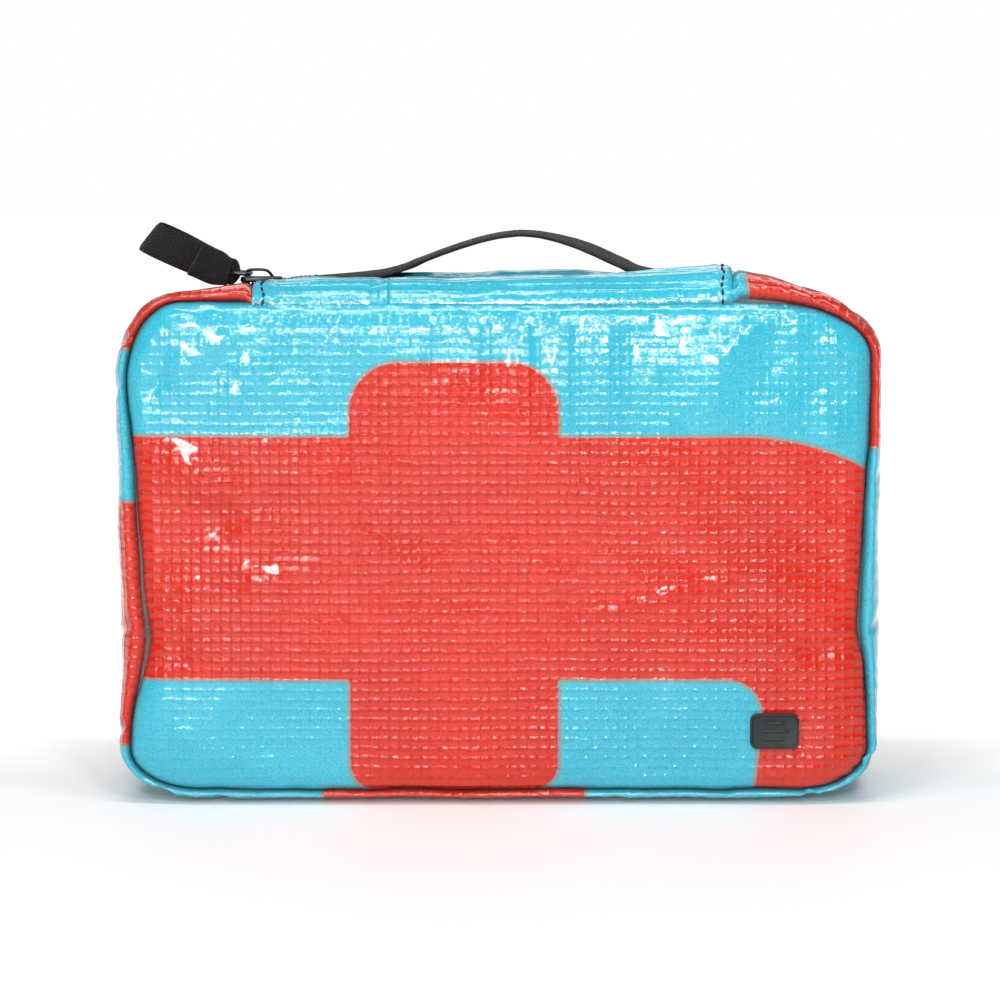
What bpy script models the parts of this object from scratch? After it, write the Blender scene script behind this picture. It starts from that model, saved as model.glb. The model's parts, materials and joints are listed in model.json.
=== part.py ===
"""First aid kit: a zipped pouch of coated banner vinyl with a webbing handle, its lining and its supplies.

Metres, +Z up. The pouch stands on its bottom, with its face towards -Y and the origin under its middle.
"""

import math

import bmesh
import bpy
from mathutils import Vector

# Outer bag: the seam that joins each face to the gusset, and how far the stuffed pieces swell past it
SEAM_HALF_WIDTH = 0.114
SEAM_BOTTOM = 0.0045
SEAM_TOP = 0.1555
SEAM_Y = 0.036
CORNER_RADIUS = 0.026
SIDE_SWELL = 0.0045
TOP_SWELL = 0.0075
END_SAG = 0.003
FACE_SWELL = 0.004
SIDE_SHOULDER = 0.35
TOP_SHOULDER = 0.45
VINYL = 0.0007
GAP = 0.0003

FACE_MID = (SEAM_TOP + SEAM_BOTTOM) / 2
FACE_HALF_HEIGHT = (SEAM_TOP - SEAM_BOTTOM) / 2

# Lining, inside the vinyl
LINING = 0.0004
LINING_INSET = 0.002
LINING_FACE_INSET = 0.003
LINING_FACE_Y = 0.0346

# Zip panel on top: two vinyl strips with the zip in a shallow dip between them
PANEL_LEFT = -0.0755
PANEL_RIGHT = 0.0715
ZIP_DIP = 0.0043
ZIP_NOTCH_LEFT = -0.0825
ZIP_SLOT = 0.0068
STRIP_LINING_DROP = 0.0052
TAPE_TOP = 0.1573
TAPE = 0.0007
TAPE_INNER = 0.0013
TAPE_OUTER = 0.0145
COIL_RADIUS = 0.0011
COIL_Y = 0.00135
COIL_Z = TAPE_TOP + GAP + COIL_RADIUS

# Slider, its ring and the webbing loop that is pulled
SLIDER_X = -0.0745
SLIDER_LENGTH = 0.013
SLIDER_WIDTH = 0.0104
SLIDER_TOP_PLATE = 0.0015
SLIDER_LOW_PLATE = 0.0014
PLATE_LOW = COIL_Z + COIL_RADIUS + GAP
PLATE_TOP = PLATE_LOW + SLIDER_TOP_PLATE
RING_WIRE = 0.0006
RING_PIVOT = Vector((SLIDER_X - 0.0036, 0, PLATE_TOP + 0.0009))
RING_LENGTH = 0.0055
RING_HALF_WIDTH = 0.0062
RING_ANGLE = math.radians(6)
LOOP_WIDTH = 0.0105
LOOP_TWIST = math.radians(84)
LOOP_START_RISE = math.radians(17)
LOOP_RISE = math.radians(27)
LOOP_BEND_LENGTH = 0.008
LOOP_SKEW = 0.24

# Carry handle: webbing sewn flat to the rear strip at both ends, bowed up between
STRAP_WIDTH = 0.018
STRAP = 0.0013
STRAP_Y = 0.018
STRAP_BASE = SEAM_TOP + TOP_SWELL + GAP
STRAP_RISE = 0.0111
STRAP_PEAK_X = 0.006
STRAP_LEFT_RUN = 0.054
STRAP_RIGHT_RUN = 0.042
STRAP_ENDS = (-0.070, 0.068)
STRAP_CUTS = (-0.0238, 0.0292)
STRAP_GAP = 0.0009

# Supplies stand on the lining's floor
FLOOR = 0.0054
SHEARS = Vector((0.0, 0.0, 0.0705))


def clear_scene():
    for obj in list(bpy.data.objects):
        bpy.data.objects.remove(obj)


def new_collection(name):
    collection = bpy.data.collections.new(name)
    bpy.context.scene.collection.children.link(collection)
    return collection


def material(name, colour, roughness, metallic=0.0):
    made = bpy.data.materials.new(name)
    made.use_nodes = True
    shader = made.node_tree.nodes["Principled BSDF"]
    shader.inputs["Base Color"].default_value = (*colour, 1)
    shader.inputs["Roughness"].default_value = roughness
    shader.inputs["Metallic"].default_value = metallic
    return made


def add(name, data, finish, collection):
    obj = bpy.data.objects.new(name, data)
    collection.objects.link(obj)
    data.materials.append(finish)
    return obj


def smooth(x):
    x = min(1.0, max(0.0, x))
    return x * x * (3 - 2 * x)


def mix(a, b, share):
    return a + (b - a) * share


# --- Makers that every piece uses ---


def sheet(name, place, columns, rows, thickness, finish, collection):
    """A grid whose points go where place(s, t) says, s and t from 0 to 1, thickened inwards."""
    mesh = bpy.data.meshes.new(name)
    grid = bmesh.new()
    bmesh.ops.create_grid(grid, x_segments=columns, y_segments=rows, size=0.5)
    for vertex in grid.verts:
        vertex.co = place(vertex.co.x + 0.5, vertex.co.y + 0.5)
    grid.to_mesh(mesh)
    grid.free()
    mesh.shade_smooth()
    obj = add(name, mesh, finish, collection)
    wall = obj.modifiers.new("Wall", "SOLIDIFY")
    wall.thickness = thickness
    wall.offset = -1
    wall.use_even_offset = True
    return obj


def plate(name, outlines, thickness, middle_y, finish, collection):
    """A flat piece in the XZ plane: the first outline is its edge and any others are holes."""
    curve = bpy.data.curves.new(name, "CURVE")
    curve.dimensions = "2D"
    curve.fill_mode = "BOTH"
    curve.extrude = thickness / 2
    for outline in outlines:
        spline = curve.splines.new("POLY")
        spline.points.add(len(outline) - 1)
        for point, (x, z) in zip(spline.points, outline):
            point.co = (x, z, 0, 1)
        spline.use_cyclic_u = True
    obj = add(name, curve, finish, collection)
    obj.rotation_euler.x = math.pi / 2
    obj.location.y = middle_y
    return obj


def tube(name, points, radius, sides, cyclic, finish, collection):
    curve = bpy.data.curves.new(name, "CURVE")
    curve.dimensions = "3D"
    curve.bevel_depth = radius
    curve.bevel_resolution = sides
    curve.use_fill_caps = not cyclic
    spline = curve.splines.new("POLY")
    spline.points.add(len(points) - 1)
    for target, point in zip(spline.points, points):
        target.co = (*point, 1)
    spline.use_cyclic_u = cyclic
    return add(name, curve, finish, collection)


def box(name, low, high, finish, collection, rounding=0.0):
    low, high = Vector(low), Vector(high)
    mesh = bpy.data.meshes.new(name)
    cube = bmesh.new()
    bmesh.ops.create_cube(cube, size=1)
    for vertex in cube.verts:
        vertex.co = (low + high) / 2 + vertex.co * (high - low)
    cube.to_mesh(mesh)
    cube.free()
    obj = add(name, mesh, finish, collection)
    if rounding:
        bevel = obj.modifiers.new("Rounding", "BEVEL")
        bevel.width = rounding
        bevel.segments = 2
    return obj


def cylinder(name, centre, radius, length, finish, collection):
    """Upright, with its lower end at centre."""
    mesh = bpy.data.meshes.new(name)
    round_bar = bmesh.new()
    bmesh.ops.create_cone(
        round_bar, cap_ends=True, segments=28, radius1=radius, radius2=radius, depth=length
    )
    bmesh.ops.translate(round_bar, verts=round_bar.verts, vec=Vector(centre) + Vector((0, 0, length / 2)))
    round_bar.to_mesh(mesh)
    round_bar.free()
    return add(name, mesh, finish, collection)


def pivot(name, at, pieces, collection):
    """An empty on a joint's axis that carries the pieces which move on it."""
    empty = bpy.data.objects.new(name, None)
    empty.location = at
    empty.empty_display_size = 0.01
    collection.objects.link(empty)
    bpy.context.view_layer.update()
    for piece in pieces:
        piece.parent = empty
        piece.matrix_parent_inverse = empty.matrix_world.inverted()
    return empty


def cut(target, cutter):
    cutter.hide_render = True
    cutter.display_type = "WIRE"
    difference = target.modifiers.new("Cut", "BOOLEAN")
    difference.object = cutter


def fuse(target, helpers, cutters):
    """Joins helper solids into the target, and keeps them out of the model as wire guides."""
    for helper in helpers:
        cutters.objects.link(helper)
        helper.users_collection[0].objects.unlink(helper)
        helper.hide_render = True
        helper.display_type = "WIRE"
        union = target.modifiers.new("Union", "BOOLEAN")
        union.operation = "UNION"
        union.object = helper


def ellipse(x, z, half_width, half_height, count):
    turns = [2 * math.pi * i / count for i in range(count)]
    return [(x + half_width * math.cos(a), z + half_height * math.sin(a)) for a in turns]


def mirrored(points):
    """The upper half of an outline, closed by its reflection in the line through its ends."""
    return points + [(a, -b) for a, b in reversed(points) if b > 0]


# --- Shape of the bag ---


def half_width(z):
    """Half the face's width at height z, rounded off at the four corners."""
    past = abs(z - FACE_MID) - (FACE_HALF_HEIGHT - CORNER_RADIUS)
    if past <= 0:
        return SEAM_HALF_WIDTH
    return SEAM_HALF_WIDTH - CORNER_RADIUS + math.sqrt(max(0.0, CORNER_RADIUS**2 - past**2))


def face_place(side, depth, swell, inset):
    """Points of a face panel: side is -1 for the front and 1 for the back."""

    def place(s, t):
        v = math.sin((t - 0.5) * math.pi)
        z = FACE_MID + v * FACE_HALF_HEIGHT
        u = -side * (2 * s - 1)
        crown = (1 - u**4) * (1 - v**4)
        inwards = FACE_MID + v * (FACE_HALF_HEIGHT - inset)
        return Vector((u * (half_width(z) - inset), side * (depth + swell * crown), inwards))

    return place


def rim_point(s):
    """A point of the seam's outline and its outward direction, from the zip panel's left end round the bottom."""
    flat, tall = SEAM_HALF_WIDTH - CORNER_RADIUS, FACE_HALF_HEIGHT - CORNER_RADIUS
    arc = CORNER_RADIUS * math.pi / 2
    corners = [(-flat, tall, 90), (-flat, -tall, 180), (flat, -tall, 270), (flat, tall, 0)]
    straights = [flat + PANEL_LEFT - GAP, 2 * tall, 2 * flat, 2 * tall, flat - PANEL_RIGHT - GAP]
    left = s * (sum(straights) + 4 * arc)
    for i, straight in enumerate(straights):
        x, z, start = corners[min(i, 3)]
        if i == 4:
            return Vector((flat - left, 0, FACE_MID + FACE_HALF_HEIGHT)), Vector((0, 0, 1))
        angle = math.radians(start)
        out = Vector((math.cos(angle), 0, math.sin(angle)))
        along = Vector((-out.z, 0, out.x))
        centre = Vector((x, 0, z + FACE_MID))
        if left <= straight:
            return centre + out * CORNER_RADIUS - along * (straight - left), out
        left -= straight
        if left <= arc:
            angle += left / CORNER_RADIUS
            out = Vector((math.cos(angle), 0, math.sin(angle)))
            return centre + out * CORNER_RADIUS, out
        left -= arc
    return None


def crown(v, shoulder):
    return math.sin(math.pi / 2 * min(1.0, (1 - abs(v)) / shoulder))


def top_swell(x, v):
    """How far the top stands above the seam, with the dip that the zip lies in and its sag past the panel."""
    inside = smooth((0.58 - abs(v)) / 0.4)
    past_end = max(PANEL_LEFT - x, x - PANEL_RIGHT, 0)
    dip = ZIP_DIP * inside * (1 - smooth((past_end - 0.015) / 0.02))
    return (TOP_SWELL - END_SAG * smooth(past_end / 0.012)) * crown(v, TOP_SHOULDER) - dip


def gusset_place(half_depth, inset):
    def place(s, t):
        point, out = rim_point(s)
        v = 1 - 2 * t
        top_share = smooth((point.z - (SEAM_TOP - CORNER_RADIUS)) / CORNER_RADIUS)
        swell = mix(SIDE_SWELL * crown(v, SIDE_SHOULDER), top_swell(point.x, v), top_share)
        return point + out * (swell - inset) + Vector((0, v * half_depth, 0))

    return place


def strip_place(side, inner, outer, drop):
    """Points of a top strip, from its edge beside the zip to the one at the seam."""

    def place(s, t):
        share = t if side > 0 else 1 - t
        y = side * mix(inner, outer, share)
        return Vector((mix(PANEL_LEFT, PANEL_RIGHT, s), y, SEAM_TOP + top_swell(0, y / SEAM_Y) - drop))

    return place


# --- Pieces ---


def zip_notch(looks, cutters):
    """The gusset's top is cut away round the zip's closed end, where the slider is parked."""
    wide = TAPE_OUTER + 2 * GAP
    low, high = (ZIP_NOTCH_LEFT, -wide, 0.15), (PANEL_LEFT + 0.001, wide, 0.17)
    return box("zip_notch", low, high, looks["vinyl"], cutters)


def make_shell(looks, parts, notch):
    for side, name in ((-1, "front_panel"), (1, "back_panel")):
        sheet(name, face_place(side, SEAM_Y, FACE_SWELL - VINYL, 0), 18, 18, VINYL, looks["vinyl"], parts)
    depth = SEAM_Y - VINYL - GAP
    cut(sheet("gusset_band", gusset_place(depth, 0), 58, 12, VINYL, looks["vinyl"], parts), notch)
    badge = Vector((0.0847, -(SEAM_Y + FACE_SWELL - VINYL), 0.0236))
    low, high = badge - Vector((0.0075, 0, 0.0055)), badge + Vector((0.0075, 0.0011, 0.0055))
    box("badge", low, high, looks["rubber"], parts, 0.0003)


def make_lining(looks, parts, notch):
    for side, name in ((-1, "lining_front"), (1, "lining_back")):
        place = face_place(side, LINING_FACE_Y, 0, LINING_FACE_INSET)
        sheet(name, place, 12, 12, LINING, looks["lining"], parts)
    depth = LINING_FACE_Y - LINING - GAP
    lining = sheet("lining_gusset", gusset_place(depth, LINING_INSET), 48, 8, LINING, looks["lining"], parts)
    cut(lining, notch)
    for side, name in ((-1, "front_seam_binding"), (1, "rear_seam_binding")):
        seam_loop(name, side * 0.0322, 0.005, looks["binding"], parts)
    box("mesh_pocket", (-0.085, 0.0295, 0.012), (0.085, 0.0299, 0.088), looks["mesh"], parts)
    box("pocket_elastic", (-0.085, 0.0288, 0.0884), (0.085, 0.0304, 0.0964), looks["binding"], parts, 0.0004)


def seam_loop(name, y, inset, finish, parts):
    """A closed cord of binding tape round the inside of a face seam."""
    points, count = [], 24
    for right in (-1, 1):
        for i in range(count):
            z = FACE_MID + right * math.sin((0.5 - i / (count - 1)) * math.pi) * (FACE_HALF_HEIGHT - inset)
            reach = half_width(FACE_MID + (z - FACE_MID) * FACE_HALF_HEIGHT / (FACE_HALF_HEIGHT - inset))
            points.append((right * (reach - inset), y, z))
    tube(name, points, 0.001, 1, True, finish, parts)


def make_zip(looks, parts):
    """The front strip swings open with its half of the zip, and the rear one stays with the bag."""
    moving = []
    for side, end in ((-1, "front"), (1, "rear")):
        outer = SEAM_Y - VINYL - GAP
        strip = strip_place(side, ZIP_SLOT, outer, 0)
        made = [sheet(f"{end}_zip_strip", strip, 2, 14, VINYL, looks["vinyl"], parts)]
        lining = strip_place(side, ZIP_SLOT + 0.001, SEAM_Y - 0.004, STRIP_LINING_DROP)
        made.append(sheet(f"{end}_strip_lining", lining, 2, 10, LINING, looks["lining"], parts))
        near, far = sorted((side * TAPE_INNER, side * TAPE_OUTER))
        low = (ZIP_NOTCH_LEFT + 0.0005, near, TAPE_TOP - TAPE)
        high = (PANEL_RIGHT - 0.001, far, TAPE_TOP)
        made.append(box(f"zip_tape_{end}", low, high, looks["tape"], parts))
        line = [(x, side * COIL_Y, COIL_Z) for x in (SLIDER_X - 0.0043, PANEL_RIGHT - 0.002)]
        made.append(tube(f"zip_coil_{end}", line, COIL_RADIUS, 2, False, looks["coil"], parts))
        if side < 0:
            moving = made
    pivot("front_lip_axis", (0, -SEAM_Y, SEAM_TOP), moving, parts)


def make_slider(looks, parts, cutters):
    half, wide = SLIDER_LENGTH / 2, SLIDER_WIDTH / 2
    low_top = TAPE_TOP - TAPE - GAP
    low = (SLIDER_X - half, -wide, PLATE_LOW)
    slider = box("zip_slider", low, (SLIDER_X + half, wide, PLATE_TOP), looks["metal"], parts)
    under_low = (SLIDER_X - half, -wide, low_top - SLIDER_LOW_PLATE)
    under = box("slider_under", under_low, (SLIDER_X + half, wide, low_top), looks["metal"], parts)
    post_low = (SLIDER_X - half, -0.0009, low_top - GAP)
    post_high = (SLIDER_X - half + 0.0018, 0.0009, PLATE_LOW + GAP)
    post = box("slider_post", post_low, post_high, looks["metal"], parts)
    outside = [(-0.0055, -0.0004), (-0.0055, 0.0014), (-0.0042, 0.0027), (0.0018, 0.0027), (0.0042, -0.0004)]
    inside = [(0.0028, -0.0004), (0.0014, 0.0016), (-0.0037, 0.0016), (-0.0045, 0.0011), (-0.0045, -0.0004)]
    outline = [(SLIDER_X + x, PLATE_TOP + z) for x, z in outside + inside]
    bail = as_mesh(plate("slider_bail", [outline], 0.0024, 0, looks["metal"], parts), parts)
    fuse(slider, (under, post, bail), cutters)

    away = Vector((-math.cos(RING_ANGLE), 0, math.sin(RING_ANGLE)))
    far_bar = RING_PIVOT + away * RING_LENGTH
    bend = 0.0016
    corners = []
    for sign, along, turn in ((-1, bend, 180), (-1, RING_LENGTH - bend, 90), (1, RING_LENGTH - bend, 0), (1, bend, -90)):
        for step in range(4):
            a = math.radians(turn + 90 - 30 * step)
            y = sign * (RING_HALF_WIDTH - bend) + bend * math.cos(a)
            corners.append(RING_PIVOT + away * (along + bend * math.sin(a)) + Vector((0, y, 0)))
    ring = tube("slider_ring", corners, RING_WIRE, 2, True, looks["metal"], parts)
    loop = pull_loop(far_bar, looks, parts)
    pull = pivot("pull_loop_axis", far_bar, [loop], parts)
    swing = pivot("ring_axis", RING_PIVOT, [ring, pull], parts)
    pivot("slider_carrier", (SLIDER_X, 0, TAPE_TOP), [slider, swing], parts)


def as_mesh(curve_object, collection):
    """The same shape as a mesh object, for a Boolean, with its loose caps welded."""
    bpy.context.view_layer.update()
    graph = bpy.context.evaluated_depsgraph_get()
    mesh = bpy.data.meshes.new_from_object(curve_object.evaluated_get(graph))
    welded = bmesh.new()
    welded.from_mesh(mesh)
    bmesh.ops.remove_doubles(welded, verts=welded.verts, dist=1e-6)
    welded.to_mesh(mesh)
    welded.free()
    name = curve_object.name
    made = bpy.data.objects.new(name + "_solid", mesh)
    made.matrix_world = curve_object.matrix_world.copy()
    collection.objects.link(made)
    bpy.data.objects.remove(curve_object)
    return made


def pull_loop(bar, looks, parts):
    """A folded webbing tab: an eye round the ring's bar, a sewn neck that twists, and an open loop on edge."""
    edge = [(-0.0026, 0), (-0.0018, 0.0019), (0, 0.0026), (0.0025, 0.0017), (0.004, 0.0014), (0.0055, 0.0014)]
    edge += [(0.007, 0.0014), (0.0095, 0.0018), (0.013, 0.0034), (0.017, 0.004), (0.0215, 0.004)]
    edge += [(0.0245, 0.0032), (0.0262, 0.0015), (0.0264, 0)]
    gap = [(0.0095, 0), (0.013, 0.002), (0.017, 0.0027), (0.0215, 0.0027), (0.0238, 0.002), (0.025, 0)]
    outlines = [mirrored(edge), mirrored(gap), ellipse(0, 0, 0.0011, 0.0011, 10)]
    loop = plate("pull_loop", outlines, LOOP_WIDTH, 0, looks["webbing"], parts)
    solid = as_mesh(loop, parts)
    for vertex in solid.data.vertices:
        vertex.co = loop_place(bar, solid.matrix_world @ vertex.co)
    solid.matrix_world.identity()
    solid.name = "pull_loop"
    return solid


def loop_place(bar, flat):
    """From the flat tab (length along X, ply spacing along Z, width along Y) to its twisted place."""
    turn = LOOP_TWIST * smooth((flat.x - 0.0018) / 0.006)
    up = flat.z * math.cos(turn) + flat.y * math.sin(turn)
    back = flat.z * math.sin(turn) - flat.y * math.cos(turn)
    along = flat.x - LOOP_SKEW * up * smooth((flat.x - 0.008) / 0.012)
    share = min(1.0, max(0.0, along / LOOP_BEND_LENGTH))
    angle = mix(LOOP_START_RISE, LOOP_RISE, share)
    radius = LOOP_BEND_LENGTH / (LOOP_RISE - LOOP_START_RISE)
    straight = along - share * LOOP_BEND_LENGTH
    run = radius * (math.sin(angle) - math.sin(LOOP_START_RISE)) + straight * math.cos(angle)
    rise = radius * (math.cos(LOOP_START_RISE) - math.cos(angle)) + straight * math.sin(angle)
    return Vector((bar.x - run + up * math.sin(angle), back, bar.z + rise + up * math.cos(angle)))


def strap_rise(x):
    run = STRAP_LEFT_RUN if x < STRAP_PEAK_X else STRAP_RIGHT_RUN
    share = min(1.0, abs(x - STRAP_PEAK_X) / run)
    return STRAP_RISE * math.cos(math.pi / 2 * share) ** 1.3


def make_handle(looks, parts):
    """One length of webbing in three nodes, cut where it bends, so that the middle can swing."""

    def run(start, end):
        def place(s, t):
            x = mix(start, end, s)
            y = STRAP_Y + (t - 0.5) * STRAP_WIDTH
            return Vector((x, y, STRAP_BASE + STRAP + strap_rise(x)))

        return place

    left, right = STRAP_CUTS
    sheet("handle_left_end", run(STRAP_ENDS[0], left - STRAP_GAP), 10, 2, STRAP, looks["webbing"], parts)
    sheet("handle_right_end", run(right + STRAP_GAP, STRAP_ENDS[1]), 10, 2, STRAP, looks["webbing"], parts)
    middle = sheet("carry_handle", run(left, right), 18, 2, STRAP, looks["webbing"], parts)
    pivot("handle_axis", (STRAP_PEAK_X, STRAP_Y, STRAP_BASE), [middle], parts)


def make_shears(looks, parts):
    """Two crossing blades on a rivet, each with an oval grip."""
    blade = [(0.0005, -0.066), (0.006, -0.048), (0.0075, -0.012), (0.007, 0.002), (-0.003, 0.015)]
    blade += [(-0.011, 0.015), (-0.006, 0), (-0.0045, -0.012), (-0.0015, -0.04)]
    hole = ellipse(0, 0, 0.0021, 0.0021, 12)
    halves = {}
    for flip, letter, middle_y in ((1, "a", 0.0006), (-1, "b", 0.0021)):
        outlines = [[(SHEARS.x + flip * x, SHEARS.z + z) for x, z in shape] for shape in (blade, hole)]
        metal = plate(f"shears_blade_{letter}", outlines, 0.0012, middle_y, looks["steel"], parts)
        centre = (SHEARS.x - flip * 0.0165, SHEARS.z + 0.037)
        rings = [ellipse(*centre, 0.015, 0.0215, 26), ellipse(*centre, 0.0105, 0.0165, 22)]
        grip = plate(f"shears_grip_{letter}", rings, 0.0055, 0.00135, looks["grip"], parts)
        halves[letter] = [metal, grip]
    profile = [(0, -0.0013), (0.0034, -0.0013), (0.0034, -0.0003), (0.0018, -0.0003)]
    profile += [(0.0018, 0.003), (0.0034, 0.003), (0.0034, 0.004), (0, 0.004)]
    mesh = bpy.data.meshes.new("shears_rivet")
    turned = bmesh.new()
    points = [turned.verts.new((r, y, 0)) for r, y in profile]
    edges = [turned.edges.new(pair) for pair in zip(points, points[1:])]
    bmesh.ops.spin(turned, geom=points + edges, axis=(0, 1, 0), cent=(0, 0, 0), angle=2 * math.pi, steps=14)
    bmesh.ops.remove_doubles(turned, verts=turned.verts, dist=1e-6)
    bmesh.ops.recalc_face_normals(turned, faces=turned.faces)
    turned.to_mesh(mesh)
    turned.free()
    add("shears_rivet", mesh, looks["steel"], parts).location = SHEARS
    pivot("shears_axis", SHEARS, halves["b"], parts)


def make_supplies(looks, parts):
    cylinder("gauze_roll", (-0.0815, -0.0155, FLOOR), 0.015, 0.096, looks["gauze"], parts)
    cylinder("elastic_bandage_roll", (-0.0495, -0.0155, FLOOR), 0.015, 0.078, looks["elastic"], parts)
    tape_centre = (-0.004, FLOOR + 0.025)
    rings = [ellipse(*tape_centre, 0.025, 0.025, 32), ellipse(*tape_centre, 0.0138, 0.0138, 24)]
    plate("medical_tape_roll", rings, 0.023, -0.0175, looks["gauze"], parts)
    rings = [ellipse(*tape_centre, 0.0134, 0.0134, 24), ellipse(*tape_centre, 0.012, 0.012, 24)]
    plate("tape_core", rings, 0.024, -0.0175, looks["core"], parts)
    box("bandage_box", (0.025, -0.03, FLOOR), (0.091, -0.006, 0.099), looks["carton"], parts, 0.0006)
    box("emergency_blanket", (-0.091, 0.0095, FLOOR), (-0.003, 0.0275, 0.073), looks["foil"], parts, 0.002)
    box("glove_pouch", (-0.106, 0.012, 0.0734), (-0.02, 0.026, 0.108), looks["pouch"], parts, 0.003)
    for i in range(3):
        y = 0.0098 + i * 0.0052
        name = f"gauze_packet_{i + 1}"
        box(name, (0.004, y, FLOOR), (0.091, y + 0.0046, 0.098 - i * 0.002), looks["paper"], parts, 0.001)
        x = -0.08 + i * 0.055
        name = f"wipe_packet_{i + 1}"
        box(name, (x, 0.0304, 0.026), (x + 0.048, 0.0326, 0.084), looks["sachet"], parts, 0.0006)
    legs = [(0.0, 0.095), (0.0016, 0.094), (0.005, 0.045), (0.0022, 0.0), (0.0012, 0.0), (0.0038, 0.045)]
    legs += [(0.0004, 0.086), (-0.0004, 0.086), (-0.0038, 0.045), (-0.0012, 0.0), (-0.0022, 0.0)]
    legs += [(-0.005, 0.045), (-0.0016, 0.094)]
    outline = [(-0.066 + x, FLOOR + z) for x, z in legs]
    plate("tweezers", [outline], 0.0075, 0.0044, looks["steel"], parts)


def main():
    clear_scene()
    parts = new_collection("first_aid_kit")
    cutters = new_collection("helpers")
    looks = {
        "vinyl": material("vinyl", (0.08, 0.58, 0.69), 0.3),
        "lining": material("lining", (0.05, 0.05, 0.055), 0.8),
        "binding": material("binding", (0.02, 0.02, 0.02), 0.9),
        "mesh": material("mesh", (0.12, 0.12, 0.13), 0.8),
        "rubber": material("rubber", (0.02, 0.025, 0.028), 0.5),
        "tape": material("tape", (0.015, 0.015, 0.015), 0.9),
        "coil": material("coil", (0.02, 0.02, 0.02), 0.5),
        "metal": material("metal", (0.09, 0.1, 0.1), 0.35, 1.0),
        "webbing": material("webbing", (0.012, 0.012, 0.012), 0.9),
        "steel": material("steel", (0.6, 0.6, 0.6), 0.3, 1.0),
        "grip": material("grip", (0.02, 0.02, 0.02), 0.5),
        "gauze": material("gauze", (0.85, 0.85, 0.83), 0.95),
        "elastic": material("elastic", (0.7, 0.52, 0.38), 0.95),
        "core": material("core", (0.75, 0.75, 0.75), 0.5),
        "carton": material("carton", (0.8, 0.8, 0.8), 0.6),
        "foil": material("foil", (0.75, 0.75, 0.76), 0.3, 1.0),
        "pouch": material("pouch", (0.5, 0.7, 0.85), 0.4),
        "paper": material("paper", (0.85, 0.86, 0.88), 0.7),
        "sachet": material("sachet", (0.8, 0.85, 0.85), 0.4),
    }
    notch = zip_notch(looks, cutters)
    make_shell(looks, parts, notch)
    make_lining(looks, parts, notch)
    make_zip(looks, parts)
    make_slider(looks, parts, cutters)
    make_handle(looks, parts)
    make_shears(looks, parts)
    make_supplies(looks, parts)


main()
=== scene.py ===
"""Looks of a zipped first aid pouch in coated banner vinyl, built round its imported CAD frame."""

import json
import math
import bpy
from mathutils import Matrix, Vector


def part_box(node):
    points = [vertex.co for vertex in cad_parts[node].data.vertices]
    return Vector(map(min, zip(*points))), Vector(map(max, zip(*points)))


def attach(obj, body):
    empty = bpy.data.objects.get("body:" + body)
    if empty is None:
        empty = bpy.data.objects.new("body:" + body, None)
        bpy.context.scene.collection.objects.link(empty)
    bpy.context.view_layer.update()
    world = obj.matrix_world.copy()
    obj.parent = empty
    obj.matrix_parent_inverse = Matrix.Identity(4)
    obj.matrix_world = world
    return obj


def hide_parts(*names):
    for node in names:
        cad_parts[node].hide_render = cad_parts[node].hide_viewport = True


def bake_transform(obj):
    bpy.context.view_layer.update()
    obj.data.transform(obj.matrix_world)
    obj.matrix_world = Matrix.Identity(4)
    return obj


bl_info = {
    "name": "First aid pouch",
    "version": (1, 0, 0),
    "blender": (4, 5, 0),
    "location": "3D View > Sidebar > Pouch",
    "description": "Builds a zipped pouch of coated scrim vinyl with its webbing, zip, lining and supplies",
    "category": "Add Mesh",
}

import bmesh
import bpy
import numpy as np
from bpy.props import FloatProperty, FloatVectorProperty, PointerProperty
from mathutils import Vector

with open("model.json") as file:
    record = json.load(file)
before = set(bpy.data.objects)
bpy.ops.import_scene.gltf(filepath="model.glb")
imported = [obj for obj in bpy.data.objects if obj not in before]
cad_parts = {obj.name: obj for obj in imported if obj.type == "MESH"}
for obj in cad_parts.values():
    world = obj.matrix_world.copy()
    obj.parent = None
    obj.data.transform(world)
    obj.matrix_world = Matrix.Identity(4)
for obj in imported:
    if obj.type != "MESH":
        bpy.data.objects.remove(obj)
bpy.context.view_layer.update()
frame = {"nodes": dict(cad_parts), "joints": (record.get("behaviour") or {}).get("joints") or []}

# --- Where things are, from the CAD ---

FACE_LOW, FACE_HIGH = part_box("front_panel")
STRIP_LOW, STRIP_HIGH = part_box("front_zip_strip")
GUSSET_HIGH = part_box("gusset_band")[1]
TAPE_LOW, TAPE_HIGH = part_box("zip_tape_rear")
SLIDER_LOW, SLIDER_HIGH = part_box("zip_slider")
HALF_WIDTH = FACE_HIGH.x
SEAM_Z = (FACE_LOW.z, FACE_HIGH.z)
MID_Z = sum(SEAM_Z) / 2
SEAM_Y = GUSSET_HIGH.y + 0.001
PANEL_X = (STRIP_LOW.x, STRIP_HIGH.x)
JOINTS = {joint["name"]: joint for joint in frame["joints"]}
# Turns round a small section
ROUND = np.linspace(0, 2 * math.pi, 12, endpoint=False)

# Corner reach of the face seam along x and z, from the top left corner round by the bottom
CORNERS = ((0.018, 0.023), (0.022, 0.013), (0.023, 0.014), (0.034, 0.018))
# How far the stuffed top stands past the seam, along x
CREST = (
    (-0.112, 0.0038), (-0.104, 0.0026), (-0.098, 0.0020), (-0.091, 0.0028), (-0.084, 0.0041),
    (-0.076, 0.0055), (-0.071, 0.0064), (-0.057, 0.0076),
    (-0.041, 0.0075), (-0.015, 0.0074), (0.003, 0.0078), (0.041, 0.0090), (0.055, 0.0101), (0.066, 0.0110),
    (0.072, 0.0104), (0.082, 0.0080), (0.095, 0.0054), (0.106, 0.0042),
)
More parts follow.
